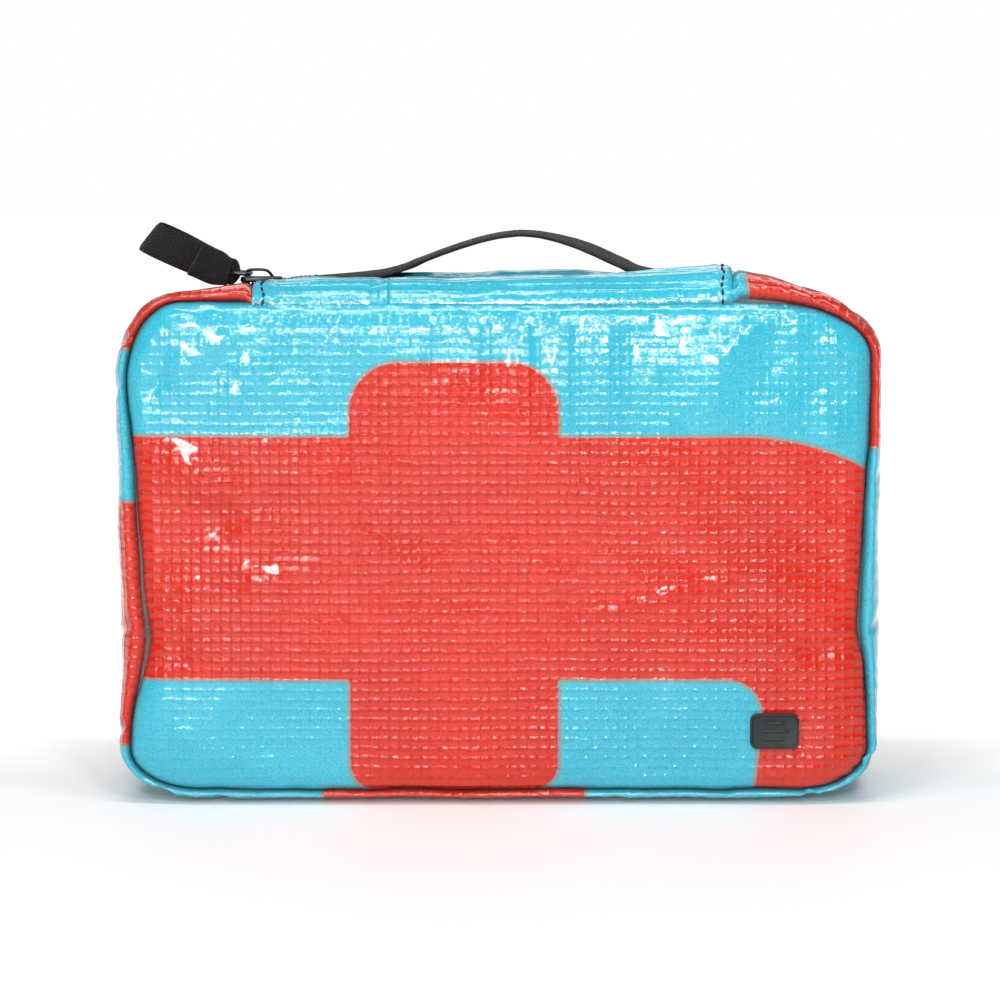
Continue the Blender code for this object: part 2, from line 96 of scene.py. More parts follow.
# How far the seam is pulled in at each side, up the height
PULL_LEFT = (
    (0.020, 0.0002), (0.030, 0.0012), (0.038, 0.0032), (0.045, 0.0050), (0.051, 0.0060), (0.056, 0.0056),
    (0.060, 0.0050), (0.071, 0.0043), (0.086, 0.0032), (0.102, 0.0024), (0.114, 0.0013),
    (0.122, 0.0007), (0.133, 0.0001),
)
PULL_RIGHT = (
    (0.018, 0.0000), (0.033, 0.0006), (0.045, 0.0016), (0.052, 0.0031), (0.058, 0.0034), (0.066, 0.0030),
    (0.086, 0.0023), (0.105, 0.0012), (0.112, 0.0002),
)


# --- What a user may change ---


class PouchSizes(bpy.types.PropertyGroup):
    """Sizes of what the cloth and the hardware show."""

    thread_pitch: FloatProperty(
        name="Thread pitch", description="Distance between the scrim's threads", default=0.00303, unit="LENGTH"
    )
    thread_relief: FloatProperty(
        name="Thread relief", description="How far a thread stands out", default=0.00042, unit="LENGTH"
    )
    side_swell: FloatProperty(
        name="Side swell",
        description="How far the gusset stands past the face seam",
        default=0.0044, unit="LENGTH",
    )
    seam_groove: FloatProperty(
        name="Seam groove", description="How deep the face seam lies", default=0.0031, unit="LENGTH"
    )
    dome: FloatProperty(name="Dome", description="How far each face bulges", default=0.0032, unit="LENGTH")
    stitch_pitch: FloatProperty(
        name="Stitch pitch", description="Length of one topstitch", default=0.0026, unit="LENGTH"
    )
    coil_pitch: FloatProperty(
        name="Coil pitch", description="Distance between the zip's teeth", default=0.0013, unit="LENGTH"
    )
    webbing_rib: FloatProperty(
        name="Webbing rib", description="Distance between the webbing's ribs", default=0.0009, unit="LENGTH"
    )


class PouchColours(bpy.types.PropertyGroup):
    """Base colours."""

    ground: FloatVectorProperty(
        name="Ground",
        description="The vinyl's ground colour",
        subtype="COLOR", default=(0.026, 0.370, 0.450), size=3,
    )
    print_red: FloatVectorProperty(
        name="Print",
        description="The vinyl's printed colour",
        subtype="COLOR", default=(0.55, 0.015, 0.001), size=3,
    )
    webbing: FloatVectorProperty(
        name="Webbing",
        description="Handle and pull loop",
        subtype="COLOR", default=(0.0075, 0.0075, 0.0078), size=3,
    )
    lining: FloatVectorProperty(
        name="Lining", description="The woven lining", subtype="COLOR", default=(0.045, 0.047, 0.052), size=3
    )


def sizes():
    return bpy.context.scene.pouch_sizes


def colours():
    return bpy.context.scene.pouch_colours


# --- Small mathematics ---


def smooth(x):
    x = np.clip(x, 0.0, 1.0)
    return x * x * (3 - 2 * x)


def table(x, pairs):
    """A smooth curve through pairs of place and value, level past its ends."""
    places, values = np.array(pairs).T
    fine = np.linspace(places[0], places[-1], 400)
    step = fine[1] - fine[0]
    width = max(1, int(np.diff(places).min() / step))
    raw = np.interp(fine, places, values)
    padded = np.pad(raw, width, mode="edge")
    kernel = np.hanning(2 * width + 3)[1:-1]
    return np.interp(x, fine, np.convolve(padded, kernel / kernel.sum(), mode="valid"))


def noise(x, y, size, seed):
    """Smooth noise from -1 to 1 over a plane, with features of the given size."""
    u, v = np.asarray(x) / size, np.asarray(y) / size
    i, j = np.floor(u).astype(np.int64), np.floor(v).astype(np.int64)
    fu, fv = smooth(u - i), smooth(v - j)

    def corner(di, dj):
        n = (i + di) * 374761393 + (j + dj) * 668265263 + seed * 69069
        n = ((n ^ (n >> 13)) * 1274126177) & 0x7FFFFFFF
        n = n ^ (n >> 16)
        return (n & 0xFFFF) / 32767.5 - 1

    low = corner(0, 0) * (1 - fu) + corner(1, 0) * fu
    high = corner(0, 1) * (1 - fu) + corner(1, 1) * fu
    return low * (1 - fv) + high * fv


def clouds(x, y, size, seed, octaves=3):
    total = 0.0
    for k in range(octaves):
        total = total + noise(x, y, size / 2**k, seed + 17 * k) / 2**k
    return total


def fold(x, z, start, end, height, width):
    """A ridge or, with a negative height, a furrow from start to end, in the plane of x and z."""
    ax, az = start
    dx, dz = end[0] - ax, end[1] - az
    length = math.hypot(dx, dz)
    along = ((x - ax) * dx + (z - az) * dz) / length
    across = ((x - ax) * -dz + (z - az) * dx) / length
    ends = smooth(along / (0.3 * length)) * smooth((length - along) / (0.3 * length))
    return height * np.exp(-((across / width) ** 2)) * ends


# --- Outline of the face seam ---


def seam_outline():
    """The seam from the zip panel's left end, down the left, along the bottom and up to its right end.

    Gives arrays of x, z, outward direction and the gusset's swell, closely spaced.
    """
    low, high = SEAM_Z
    places, outs = [], []
    top_left, low_left, low_right, top_right = CORNERS

    def straight(start, end, out, count=160):
        for share in np.linspace(0, 1, count, endpoint=False):
            places.append((start[0] + (end[0] - start[0]) * share, start[1] + (end[1] - start[1]) * share))
            outs.append(out)

    def corner(centre, reach, start_angle):
        for share in np.linspace(0, 1, 60, endpoint=False):
            angle = math.radians(start_angle + 90 * share)
            c, s = math.cos(angle), math.sin(angle)
            places.append((centre[0] + reach[0] * c, centre[1] + reach[1] * s))
            out = np.array((c / reach[0], s / reach[1]))
            outs.append(tuple(out / np.linalg.norm(out)))

    w = HALF_WIDTH
    straight((0.0, high), (-w + top_left[0], high), (0, 1))
    corner((-w + top_left[0], high - top_left[1]), top_left, 90)
    straight((-w, high - top_left[1]), (-w, low + low_left[1]), (-1, 0))
    corner((-w + low_left[0], low + low_left[1]), low_left, 180)
    straight((-w + low_left[0], low), (w - low_right[0], low), (0, -1))
    corner((w - low_right[0], low + low_right[1]), low_right, 270)
    straight((w, low + low_right[1]), (w, high - top_right[1]), (1, 0))
    corner((w - top_right[0], high - top_right[1]), top_right, 0)
    straight((w - top_right[0], high), (0.0, high), (0, 1))
    places, outs = np.array(places), np.array(outs)
    x, z = places.T
    nx, nz = outs.T
    side = nx**2
    top = table(x, CREST)
    swell = sizes().side_swell * side + (1 - side) * np.where(nz > 0, top, sizes().side_swell * 0.98)
    pull = np.where(nx < 0, table(z, PULL_LEFT), table(z, PULL_RIGHT)) * side
    along = np.concatenate(([0], np.cumsum(np.hypot(np.diff(x), np.diff(z)))))
    waves = 0.00025 * clouds(along, along * 0, 0.012, 5, 2)
    seam = places - outs * (pull + waves)[:, None]
    outer = places + outs * swell[:, None]
    return {"along": along, "seam": seam, "outer": outer, "out": outs, "pull": pull}


def resample(outline, count, start=None, end=None):
    """The outline at evenly spaced lengths, from start to end."""
    along = outline["along"]
    wanted = np.linspace(along[0] if start is None else start, along[-1] if end is None else end, count)
    made = {"along": wanted}
    for key in ("seam", "outer", "out"):
        made[key] = np.stack([np.interp(wanted, along, outline[key][:, k]) for k in (0, 1)], axis=1)
    made["pull"] = np.interp(wanted, along, outline["pull"])
    return made


def length_at(outline, x, side):
    """How far along the outline the top edge passes x: side is -1 for its first stretch and 1 for its last."""
    along, seam = outline["along"], outline["seam"]
    if side < 0:
        rows = np.arange(0, 160)
        return float(np.interp(-x, -seam[rows, 0], along[rows]))
    rows = np.arange(len(along) - 160, len(along))
    return float(np.interp(-x, -seam[rows, 0], along[rows]))


# --- Meshes ---


def surface(name, points, uv=None, print_edge=None, closed=False, flip=False, seam=None):
    """A sheet through a grid of points (rows, columns, 3)."""
    rows, columns = points.shape[:2]
    index = np.arange(rows * columns).reshape(rows, columns)
    if closed:
        index = np.concatenate((index, index[:, :1]), axis=1)
    a, b, c, d = index[:-1, :-1], index[:-1, 1:], index[1:, 1:], index[1:, :-1]
    quads = np.stack((a, d, c, b) if flip else (a, b, c, d), axis=-1).reshape(-1, 4)
    mesh = bpy.data.meshes.new(name)
    mesh.from_pydata(points.reshape(-1, 3).tolist(), [], quads.tolist())
    if uv is not None:
        layer = mesh.uv_layers.new(name="UVMap")
        corner = np.zeros(len(mesh.loops), dtype=np.int32)
        mesh.loops.foreach_get("vertex_index", corner)
        layer.data.foreach_set("uv", uv.reshape(-1, 2)[corner].astype(np.float32).ravel())
    if print_edge is not None:
        attribute = mesh.attributes.new("print_edge", "FLOAT", "POINT")
        attribute.data.foreach_set("value", print_edge.reshape(-1).astype(np.float32))
    if seam is not None:
        attribute = mesh.attributes.new("seam_shade", "FLOAT", "POINT")
        shades = np.broadcast_to(seam, (rows, columns)).reshape(-1)
        attribute.data.foreach_set("value", shades.astype(np.float32))
    mesh.shade_smooth()
    mesh.validate()
    obj = bpy.data.objects.new(name, mesh)
    bpy.context.scene.collection.objects.link(obj)
    return obj


def wall(obj, thickness):
    """Gives a sheet its thickness, inwards."""
    modifier = obj.modifiers.new("Wall", "SOLIDIFY")
    modifier.thickness = thickness
    modifier.offset = -1
    modifier.use_quality_normals = True
    return obj


def settle(obj):
    """Applies an object's modifiers and its place to its mesh."""
    bpy.context.view_layer.update()
    graph = bpy.context.evaluated_depsgraph_get()
    shown = obj.evaluated_get(graph)
    mesh = bpy.data.meshes.new_from_object(shown, preserve_all_data_layers=True, depsgraph=graph)
    mesh.transform(obj.matrix_world)
    name = obj.name
    bpy.data.objects.remove(obj)
    mesh.name = name
    made = bpy.data.objects.new(name, mesh)
    bpy.context.scene.collection.objects.link(made)
    return made


def from_bmesh(name, made, smooth_angle=None):
    bmesh.ops.recalc_face_normals(made, faces=made.faces)
    mesh = bpy.data.meshes.new(name)
    made.to_mesh(mesh)
    made.free()
    mesh.shade_smooth()
    if smooth_angle is not None:
        mesh.set_sharp_from_angle(angle=smooth_angle)
    obj = bpy.data.objects.new(name, mesh)
    bpy.context.scene.collection.objects.link(obj)
    return obj


def sweep(name, path, profile, ups, closed=False, capped=True, uv_scale=1.0, smooth_angle=0.7):
    """Runs a closed profile, given as (across, up), along a path with an up direction at each point."""
    path, ups = np.asarray(path, float), np.asarray(ups, float)
    ahead = np.roll(path, -1, axis=0) - np.roll(path, 1, axis=0)
    if not closed:
        ahead[0], ahead[-1] = path[1] - path[0], path[-1] - path[-2]
    ahead /= np.linalg.norm(ahead, axis=1)[:, None]
    ups = ups - ahead * np.sum(ups * ahead, axis=1)[:, None]
    ups /= np.linalg.norm(ups, axis=1)[:, None]
    across = np.cross(ahead, ups)
    profile = np.asarray(profile, float)
    if profile.ndim == 2:
        profile = np.repeat(profile[None], len(path), axis=0)
    points = (
        path[:, None] + across[:, None] * profile[:, :, :1] + ups[:, None] * profile[:, :, 1:]
    )
    made = bmesh.new()
    rings = [[made.verts.new(p) for p in ring] for ring in points]
    uv = made.loops.layers.uv.new("UVMap")
    lengths = np.concatenate(([0], np.cumsum(np.linalg.norm(np.diff(path, axis=0), axis=1))))
    count, sides = len(rings), profile.shape[1]
    for i in range(count if closed else count - 1):
        for k in range(sides):
            here, there, n = rings[i], rings[(i + 1) % count], (k + 1) % sides
            face = made.faces.new((here[k], here[n], there[n], there[k]))
            marks = ((i, k), (i, n), (i + 1, n), (i + 1, k))
            for loop, (row, column) in zip(face.loops, marks):
                wide = profile[row % count, column, 0]
                loop[uv].uv = (lengths[min(row, count - 1)] * uv_scale, wide * uv_scale)
    if capped and not closed:
        made.faces.new(rings[0])
        made.faces.new(rings[-1])
    return from_bmesh(name, made, smooth_angle)


def finish_piece(obj, body, material, slot, *nodes):
    if material is not None:
        obj.data.materials.clear()
        obj.data.materials.append(material)
    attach(obj, body)
    if nodes:
        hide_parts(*nodes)
    return obj


# --- Materials ---


class Shader:
    """Builds a material's nodes: each method adds one node and gives its output."""

    def __init__(self, name):
        self.material = bpy.data.materials.new(name)
        self.material.use_nodes = True
        self.tree = self.material.node_tree
        self.shader = self.tree.nodes["Principled BSDF"]

    def node(self, kind, output=0, settings=None, **inputs):
        made = self.tree.nodes.new(kind)
        for key, value in (settings or {}).items():
            setattr(made, key, value)
        for key, value in inputs.items():
            socket = made.inputs[int(key[1:])] if key[0] == "_" else made.inputs[key.replace("_", " ")]
            if isinstance(value, bpy.types.NodeSocket):
                self.tree.links.new(value, socket)
            else:
                socket.default_value = value
        return made.outputs[output]

    def maths(self, operation, a, b=0.0, c=0.0):
        return self.node("ShaderNodeMath", settings={"operation": operation}, _0=a, _1=b, _2=c)

    def blend(self, share, a, b, mode="MIX"):
        settings = {"data_type": "RGBA", "blend_type": mode}
        return self.node("ShaderNodeMix", output=2, settings=settings, _0=share, _6=a, _7=b)

    def ramp(self, value, low, high, to_low=0.0, to_high=1.0):
        made = self.node(
            "ShaderNodeMapRange",
            settings={"interpolation_type": "SMOOTHSTEP"},
            _0=value, _1=low, _2=high, _3=to_low, _4=to_high,
        )
        return made

    def speckle(self, vector, scale, detail=2.0, roughness=0.5):
        return self.node(
            "ShaderNodeTexNoise", Vector=vector, Scale=scale, Detail=detail, Roughness=roughness
        )

    def set(self, **inputs):
        for key, value in inputs.items():
            socket = self.shader.inputs[key.replace("_", " ")]
            if isinstance(value, bpy.types.NodeSocket):
                self.tree.links.new(value, socket)
            else:
                socket.default_value = value
        return self

    def bump(self, height, distance, strength=1.0, normal=None):
        extra = {"Normal": normal} if normal is not None else {}
        return self.node("ShaderNodeBump", Strength=strength, Distance=distance, Height=height, **extra)


def colour(rgb, alpha=1.0):
    return (rgb[0], rgb[1], rgb[2], alpha)


def vinyl_material():
    """Glossy coated scrim: square threads under the film, and a print with soft edges."""
    s = Shader("coated_scrim")
    uv = s.node("ShaderNodeTexCoord", output=2)
    place = s.node("ShaderNodeTexCoord", output=3)
    pitch = sizes().thread_pitch
    wander = s.node("ShaderNodeTexNoise", output=1, Vector=place, Scale=34.0, Detail=1.0)
    wander = s.node("ShaderNodeVectorMath", settings={"operation": "SUBTRACT"}, _0=wander, _1=(0.5, 0.5, 0.5))
    wander = s.node("ShaderNodeVectorMath", settings={"operation": "SCALE"}, _0=wander, Scale=0.0011)
    moved = s.node("ShaderNodeVectorMath", settings={"operation": "ADD"}, _0=uv, _1=wander)
    split = s.node("ShaderNodeSeparateXYZ", _0=moved)
    v = split.node.outputs[1]
    turns = 2 * math.pi / pitch

    def thread(coordinate, power):
        wave = s.maths("COSINE", s.maths("MULTIPLY", coordinate, turns))
        return s.maths("POWER", s.maths("MULTIPLY_ADD", wave, 0.5, 0.5), power)

    weft, warp = thread(v, 3.2), thread(split, 3.6)
    crossing = s.maths("MULTIPLY", weft, warp)
    half_v = s.maths("COSINE", s.maths("MULTIPLY", v, turns / 2))
    half_u = s.maths("COSINE", s.maths("MULTIPLY", split, turns / 2))
    over = s.maths("MULTIPLY", half_u, half_v)
    grain = s.speckle(place, 2600.0, 2.0, 0.6)
    fibre = s.speckle(place, 950.0, 3.0, 0.6)
    soft = s.speckle(place, 120.0, 2.0, 0.5)
    edge = s.node("ShaderNodeAttribute", output=2, settings={"attribute_name": "print_edge"})
    bleed = s.maths("MULTIPLY_ADD", s.maths("SUBTRACT", fibre, 0.5), 0.0006, edge)
    red_share = s.ramp(bleed, -0.0003, 0.0003)
    beyond = s.maths("ABSOLUTE", s.maths("ADD", bleed, 0.0005))
    line_share = s.maths("MULTIPLY", s.ramp(beyond, 0.00035, 0.0008, 1.0, 0.0), 0.80)
    woven = s.maths("MULTIPLY_ADD", weft, 0.62, s.maths("MULTIPLY", warp, 0.30))
    woven = s.maths("MULTIPLY_ADD", crossing, 0.42, woven)
    woven = s.maths("MULTIPLY_ADD", s.maths("MULTIPLY", over, weft), 0.16, woven)
    sunk = s.ramp(s.speckle(place, 26.0, 2.0, 0.5), 0.38, 0.62, 0.16, 0.50)
    shown = s.maths("MULTIPLY_ADD", red_share, s.maths("SUBTRACT", 1.0, sunk), sunk)
    height = s.maths("MULTIPLY", woven, shown)
    height = s.maths("MULTIPLY_ADD", fibre, 0.17, height)
    height = s.maths("MULTIPLY_ADD", grain, 0.05, height)
    normal = s.bump(height, sizes().thread_relief)
    normal = s.bump(soft, 0.0012, 0.5, normal)

    patches = s.speckle(place, 22.0, 3.0, 0.55)
    base, printed = colours().ground, colours().print_red
    darker = colour((base[0] * 0.75, base[1] * 0.86, base[2] * 0.90))
    ground = s.blend(s.ramp(patches, 0.3, 0.7), colour(base), darker)
    red = s.blend(s.ramp(patches, 0.3, 0.7), colour(printed), colour([c * 0.84 for c in printed]))
    grains = s.ramp(s.speckle(place, 2300.0, 2.0, 0.7), 0.36, 0.66)
    deep_ground, pale_ground = (0.004, 0.33, 0.50, 1), (0.20, 0.56, 0.60, 1)
    deep_red, pale_red = (0.50, 0.012, 0.001, 1), (0.78, 0.06, 0.03, 1)
    ground = s.blend(grains, s.blend(0.8, ground, deep_ground), s.blend(0.28, ground, pale_ground))
    red = s.blend(grains, s.blend(0.5, red, deep_red), s.blend(0.14, red, pale_red))
    tint = s.blend(red_share, ground, red)
    tint = s.blend(line_share, tint, (0.20, 0.23, 0.19, 1))
    # Painted shade: a dark line along the lower side of each weft thread and along one side of each warp thread,
    # strongest on the red.
    under = s.ramp(thread(s.maths("ADD", v, pitch * 0.24), 5.0), 0.1, 1.0, 0.0, 0.30)
    beside = s.ramp(thread(s.maths("ADD", split, pitch * 0.22), 6.0), 0.1, 1.0, 0.0, 0.20)
    strength = s.maths("MULTIPLY_ADD", red_share, 0.86, 0.14)
    lines = s.maths("MULTIPLY", s.maths("MAXIMUM", under, beside), strength)
    tint = s.blend(lines, tint, s.blend(0.4, tint, (0.10, 0.035, 0.03, 1)))
    scuff = s.ramp(s.speckle(place, 70.0, 6.0, 0.7), 0.62, 0.74, 0.0, 0.07)
    tint = s.blend(scuff, tint, (0.55, 0.52, 0.52, 1))
    # Painted shade: the seam grooves are darkened nearly to black, from the seam_shade attribute.
    shaded = s.node("ShaderNodeAttribute", output=2, settings={"attribute_name": "seam_shade"})
    tint = s.blend(s.maths("MULTIPLY", shaded, 0.88), tint, (0.012, 0.014, 0.016, 1))
    rough = s.maths("MULTIPLY_ADD", s.speckle(place, 240.0, 2.0), 0.12, 0.07)
    s.set(Base_Color=tint, Roughness=rough, Normal=normal)
    s.set(Specular_IOR_Level=0.46, Coat_Weight=0.16, Coat_Roughness=0.05)
    return s.material


def cloth_material(name, tint, rib, relief, sheen=0.3, roughness=0.85, across=0.6, gloss=0.15):
    """Woven tape or webbing: ribs along its length with a fine twill, from its own UV map in metres."""
    s = Shader(name)
    uv = s.node("ShaderNodeTexCoord", output=2)
    place = s.node("ShaderNodeTexCoord", output=3)
    split = s.node("ShaderNodeSeparateXYZ", _0=uv)
    u, v = split, split.node.outputs[1]
    turns = 2 * math.pi / rib
    ribs = s.maths("COSINE", s.maths("MULTIPLY", u, turns))
    shifted = s.maths("ADD", s.maths("MULTIPLY", v, turns * across), s.maths("MULTIPLY", u, turns * 0.5))
    twill = s.maths("COSINE", shifted)
    weave = s.maths("MULTIPLY_ADD", s.maths("MULTIPLY", ribs, twill), 0.35, s.maths("MULTIPLY", ribs, 0.4))
    fuzz = s.speckle(place, 5200.0, 3.0, 0.7)
    height = s.maths("MULTIPLY_ADD", fuzz, 0.5, weave)
    # Painted highlight and shade: the raised ribs are made lighter than the grooves between them.
    light = [min(1.0, c * 1.9 + 0.006) for c in tint]
    mixed = s.blend(s.ramp(height, -0.3, 1.0), colour(tint), colour(light))
    faded = colour([min(1.0, c * 1.8 + 0.012) for c in tint])
    worn = s.blend(s.ramp(s.speckle(place, 90.0, 4.0, 0.6), 0.5, 0.8, 0.0, 0.3), mixed, faded)
    s.set(Base_Color=worn, Roughness=roughness, Normal=s.bump(height, relief))
    s.set(Sheen_Weight=sheen, Sheen_Roughness=0.4, Specular_IOR_Level=gloss)
    return s.material


def lining_material():
    """Ripstop nylon: a fine plain weave with raised threads on a square grid."""
    s = Shader("ripstop_lining")
    place = s.node("ShaderNodeTexCoord", output=3)
    split = s.node("ShaderNodeSeparateXYZ", _0=place)
    outs = [split.node.outputs[k] for k in range(3)]
    ridge = None
    for out in outs:
        wave = s.maths("COSINE", s.maths("MULTIPLY", out, 2 * math.pi / 0.005))
        raised = s.maths("POWER", s.maths("MULTIPLY_ADD", wave, 0.5, 0.5), 24.0)
        ridge = raised if ridge is None else s.maths("MAXIMUM", ridge, raised)
    fine = s.maths("MULTIPLY", *[s.maths("COSINE", s.maths("MULTIPLY", out, 2 * math.pi / 0.0006)) for out in outs[1:]])
    creases = s.speckle(place, 60.0, 4.0, 0.6)
    height = s.maths("MULTIPLY_ADD", fine, 0.12, s.maths("MULTIPLY_ADD", ridge, 0.3, creases))
    base = colours().lining
    # Painted highlight and shade: the raised parts of the creases and the raised grid threads are made lighter.
    tint = s.blend(s.ramp(creases, 0.35, 0.65), colour(base), colour([c * 1.7 for c in base]))
    tint = s.blend(s.maths("MULTIPLY", ridge, 0.25), tint, colour([c * 3 for c in base]))
    s.set(Base_Color=tint, Roughness=0.58, Normal=s.bump(height, 0.0004), Sheen_Weight=0.3)
    return s.material


def plain_material(
    name, tint, roughness, metallic=0.0, grain=600.0, relief=0.00003, wear=0.1, stretch=(1, 1, 1), **more
):
    """Moulded, cast or brushed finishes: fine grain, patchy sheen and lighter worn spots."""
    s = Shader(name)
    place = s.node("ShaderNodeTexCoord", output=3)
    drawn = s.node("ShaderNodeMapping", Vector=place, Scale=stretch)
    fine = s.speckle(drawn, grain, 3.0, 0.6)
    broad = s.speckle(place, 70.0, 4.0, 0.6)
    light = [min(1.0, c * 1.35 + 0.05) for c in tint]
    mixed = s.blend(s.ramp(broad, 0.45, 0.75, 0.0, wear * 3), colour(tint), colour(light))
    mixed = s.blend(s.ramp(fine, 0.4, 0.7, 0.0, 0.25), mixed, colour([c * 0.75 for c in tint]))
    rough = s.maths("MULTIPLY_ADD", s.maths("SUBTRACT", fine, 0.5), 0.3, roughness)
    s.set(Base_Color=mixed, Roughness=rough, Metallic=metallic, Normal=s.bump(fine, relief), **more)
    return s.material


MATERIALS = {}


def look(name):
    """A finish by name, made when it is first asked for."""
    makers = {
        "vinyl": vinyl_material,
        "webbing": lambda: cloth_material("webbing", colours().webbing, sizes().webbing_rib, 0.00026, 0.06, 0.7),
        "tape": lambda: cloth_material("zip_tape_cloth", (0.012, 0.012, 0.013), 0.0007, 0.00012),
        "binding": lambda: cloth_material("binding_tape", (0.016, 0.016, 0.017), 0.0012, 0.0002),
        "thread": lambda: plain_material("thread", (0.006, 0.006, 0.007), 0.75, grain=3000.0),
        "lining": lining_material,
        "mesh": lambda: plain_material("net_yarn", (0.09, 0.09, 0.10), 0.7, grain=3000.0),
        "metal": lambda: plain_material("gunmetal", (0.045, 0.050, 0.052), 0.36, 1.0, 900.0, 0.00002, 0.25),
        "coil": lambda: plain_material("nylon_coil", (0.016, 0.016, 0.017), 0.38, grain=2000.0),
        "rubber": lambda: plain_material("moulded_rubber", (0.006, 0.009, 0.011), 0.62, grain=1800.0, relief=0.00004),
        "steel": lambda: plain_material(
            "brushed_steel", (0.62, 0.62, 0.61), 0.30, 1.0, 900.0, 0.00002, 0.1, (1, 1, 0.06)
        ),
        "grip": lambda: plain_material("grip_plastic", (0.018, 0.018, 0.02), 0.45, grain=1500.0, relief=0.00005),
        "gauze": lambda: cloth_material("cotton_gauze", (0.78, 0.77, 0.73), 0.0011, 0.0003, 0.2, 0.95, 1.0),
        "elastic": lambda: cloth_material("crepe", (0.62, 0.44, 0.30), 0.0016, 0.0004, 0.2, 0.95, 0.4),
        "core": lambda: plain_material("card_ring", (0.55, 0.50, 0.42), 0.8, grain=1500.0),
        "carton": lambda: plain_material("carton_board", (0.72, 0.74, 0.72), 0.55, grain=1200.0),
        "foil": lambda: plain_material("metallised_film", (0.80, 0.80, 0.82), 0.22, 1.0, 260.0, 0.0004),
        "pouch": lambda: plain_material("thin_bag", (0.36, 0.55, 0.74), 0.28, grain=300.0, relief=0.0002),
        "paper": lambda: plain_material("wrapper_paper", (0.78, 0.80, 0.82), 0.65, grain=900.0, relief=0.00006),
        "sachet": lambda: plain_material("sachet_film", (0.66, 0.75, 0.76), 0.3, grain=400.0, relief=0.0002),
        "floor": floor_material,
    }
    if name not in MATERIALS:
        MATERIALS[name] = makers[name]()
    return MATERIALS[name]


def floor_material():
    """Pale paper that glows more and more towards the back, fading into the white surround."""
    s = Shader("studio_floor")
    place = s.node("ShaderNodeTexCoord", output=3)
    spots = s.speckle(place, 3.0, 2.0, 0.5)
    behind = s.node("ShaderNodeSeparateXYZ", output=1, _0=place)
    # Painted light: the floor glows, from 0.05 in front of the pouch to 0.9 behind it.
    lit = s.ramp(behind, -0.02, 0.30, 0.05, 0.9)
    s.set(Base_Color=s.blend(spots, (0.86, 0.86, 0.86, 1), (0.89, 0.89, 0.89, 1)), Roughness=0.6)
    s.set(Emission_Color=(1, 1, 1, 1), Emission_Strength=lit)
    return s.material


# --- Geometry Nodes ---


class Tree:
    """Builds a Geometry Nodes tree with named inputs."""

    def __init__(self, name, **named):
        self.tree = bpy.data.node_groups.new(name, "GeometryNodeTree")
        self.tree.interface.new_socket("Geometry", in_out="INPUT", socket_type="NodeSocketGeometry")
        self.tree.interface.new_socket("Geometry", in_out="OUTPUT", socket_type="NodeSocketGeometry")
        for key, kind in named.items():
            self.tree.interface.new_socket(key, in_out="INPUT", socket_type=kind)
        self.given = self.tree.nodes.new("NodeGroupInput")

    def node(self, kind, settings=None, **inputs):
        made = self.tree.nodes.new(kind)
        for key, value in (settings or {}).items():
            setattr(made, key, value)
        for key, value in inputs.items():
            socket = made.inputs[int(key[1:])] if key[0] == "_" else made.inputs[key.replace("_", " ")]
            if isinstance(value, bpy.types.NodeSocket):
                self.tree.links.new(value, socket)
            else:
                socket.default_value = value
        return made

    def finish(self, geometry, material):
        real = self.node("GeometryNodeRealizeInstances", Geometry=geometry)
        painted = self.node("GeometryNodeSetMaterial", Geometry=real.outputs[0], Material=material)
        last = self.tree.nodes.new("NodeGroupOutput")
        self.tree.links.new(painted.outputs[0], last.inputs[0])
        return self.tree


def run_tree(obj, tree, **values):
    """Runs a tree on an object and turns the result into a plain mesh."""
    modifier = obj.modifiers.new("Nodes", "NODES")
    modifier.node_group = tree
    for item in tree.interface.items_tree:
        if item.item_type == "SOCKET" and item.in_out == "INPUT" and item.name in values:
            modifier[item.identifier] = values[item.name]
    return settle(obj)


def stitch_tree():
    """Rounded stitches laid end to end along a curve, one for each pitch."""
    if "stitches" in bpy.data.node_groups:
        return bpy.data.node_groups["stitches"]
    number = "NodeSocketFloat"
    t = Tree("stitches", Pitch=number, Length=number, Radius=number, Material="NodeSocketMaterial")
    g = t.given.outputs
    points = t.node("GeometryNodeCurveToPoints", {"mode": "LENGTH"}, _0=g["Geometry"], Length=g["Pitch"])
    bead = t.node("GeometryNodeMeshUVSphere", None, Segments=8, Rings=5, Radius=1.0)
    half = t.node("ShaderNodeMath", {"operation": "MULTIPLY"}, _0=g["Length"], _1=0.5)
    size = t.node("ShaderNodeCombineXYZ", None, _0=g["Radius"], _1=g["Radius"], _2=half.outputs[0])
    turn = t.node("FunctionNodeAlignRotationToVector", {"axis": "Z"}, Vector=points.outputs["Tangent"])
    laid = t.node(
        "GeometryNodeInstanceOnPoints", None, Points=points.outputs["Points"], Instance=bead.outputs[0],
        Rotation=turn.outputs[0], Scale=size.outputs[0],
    )
    return t.finish(laid.outputs[0], g["Material"])


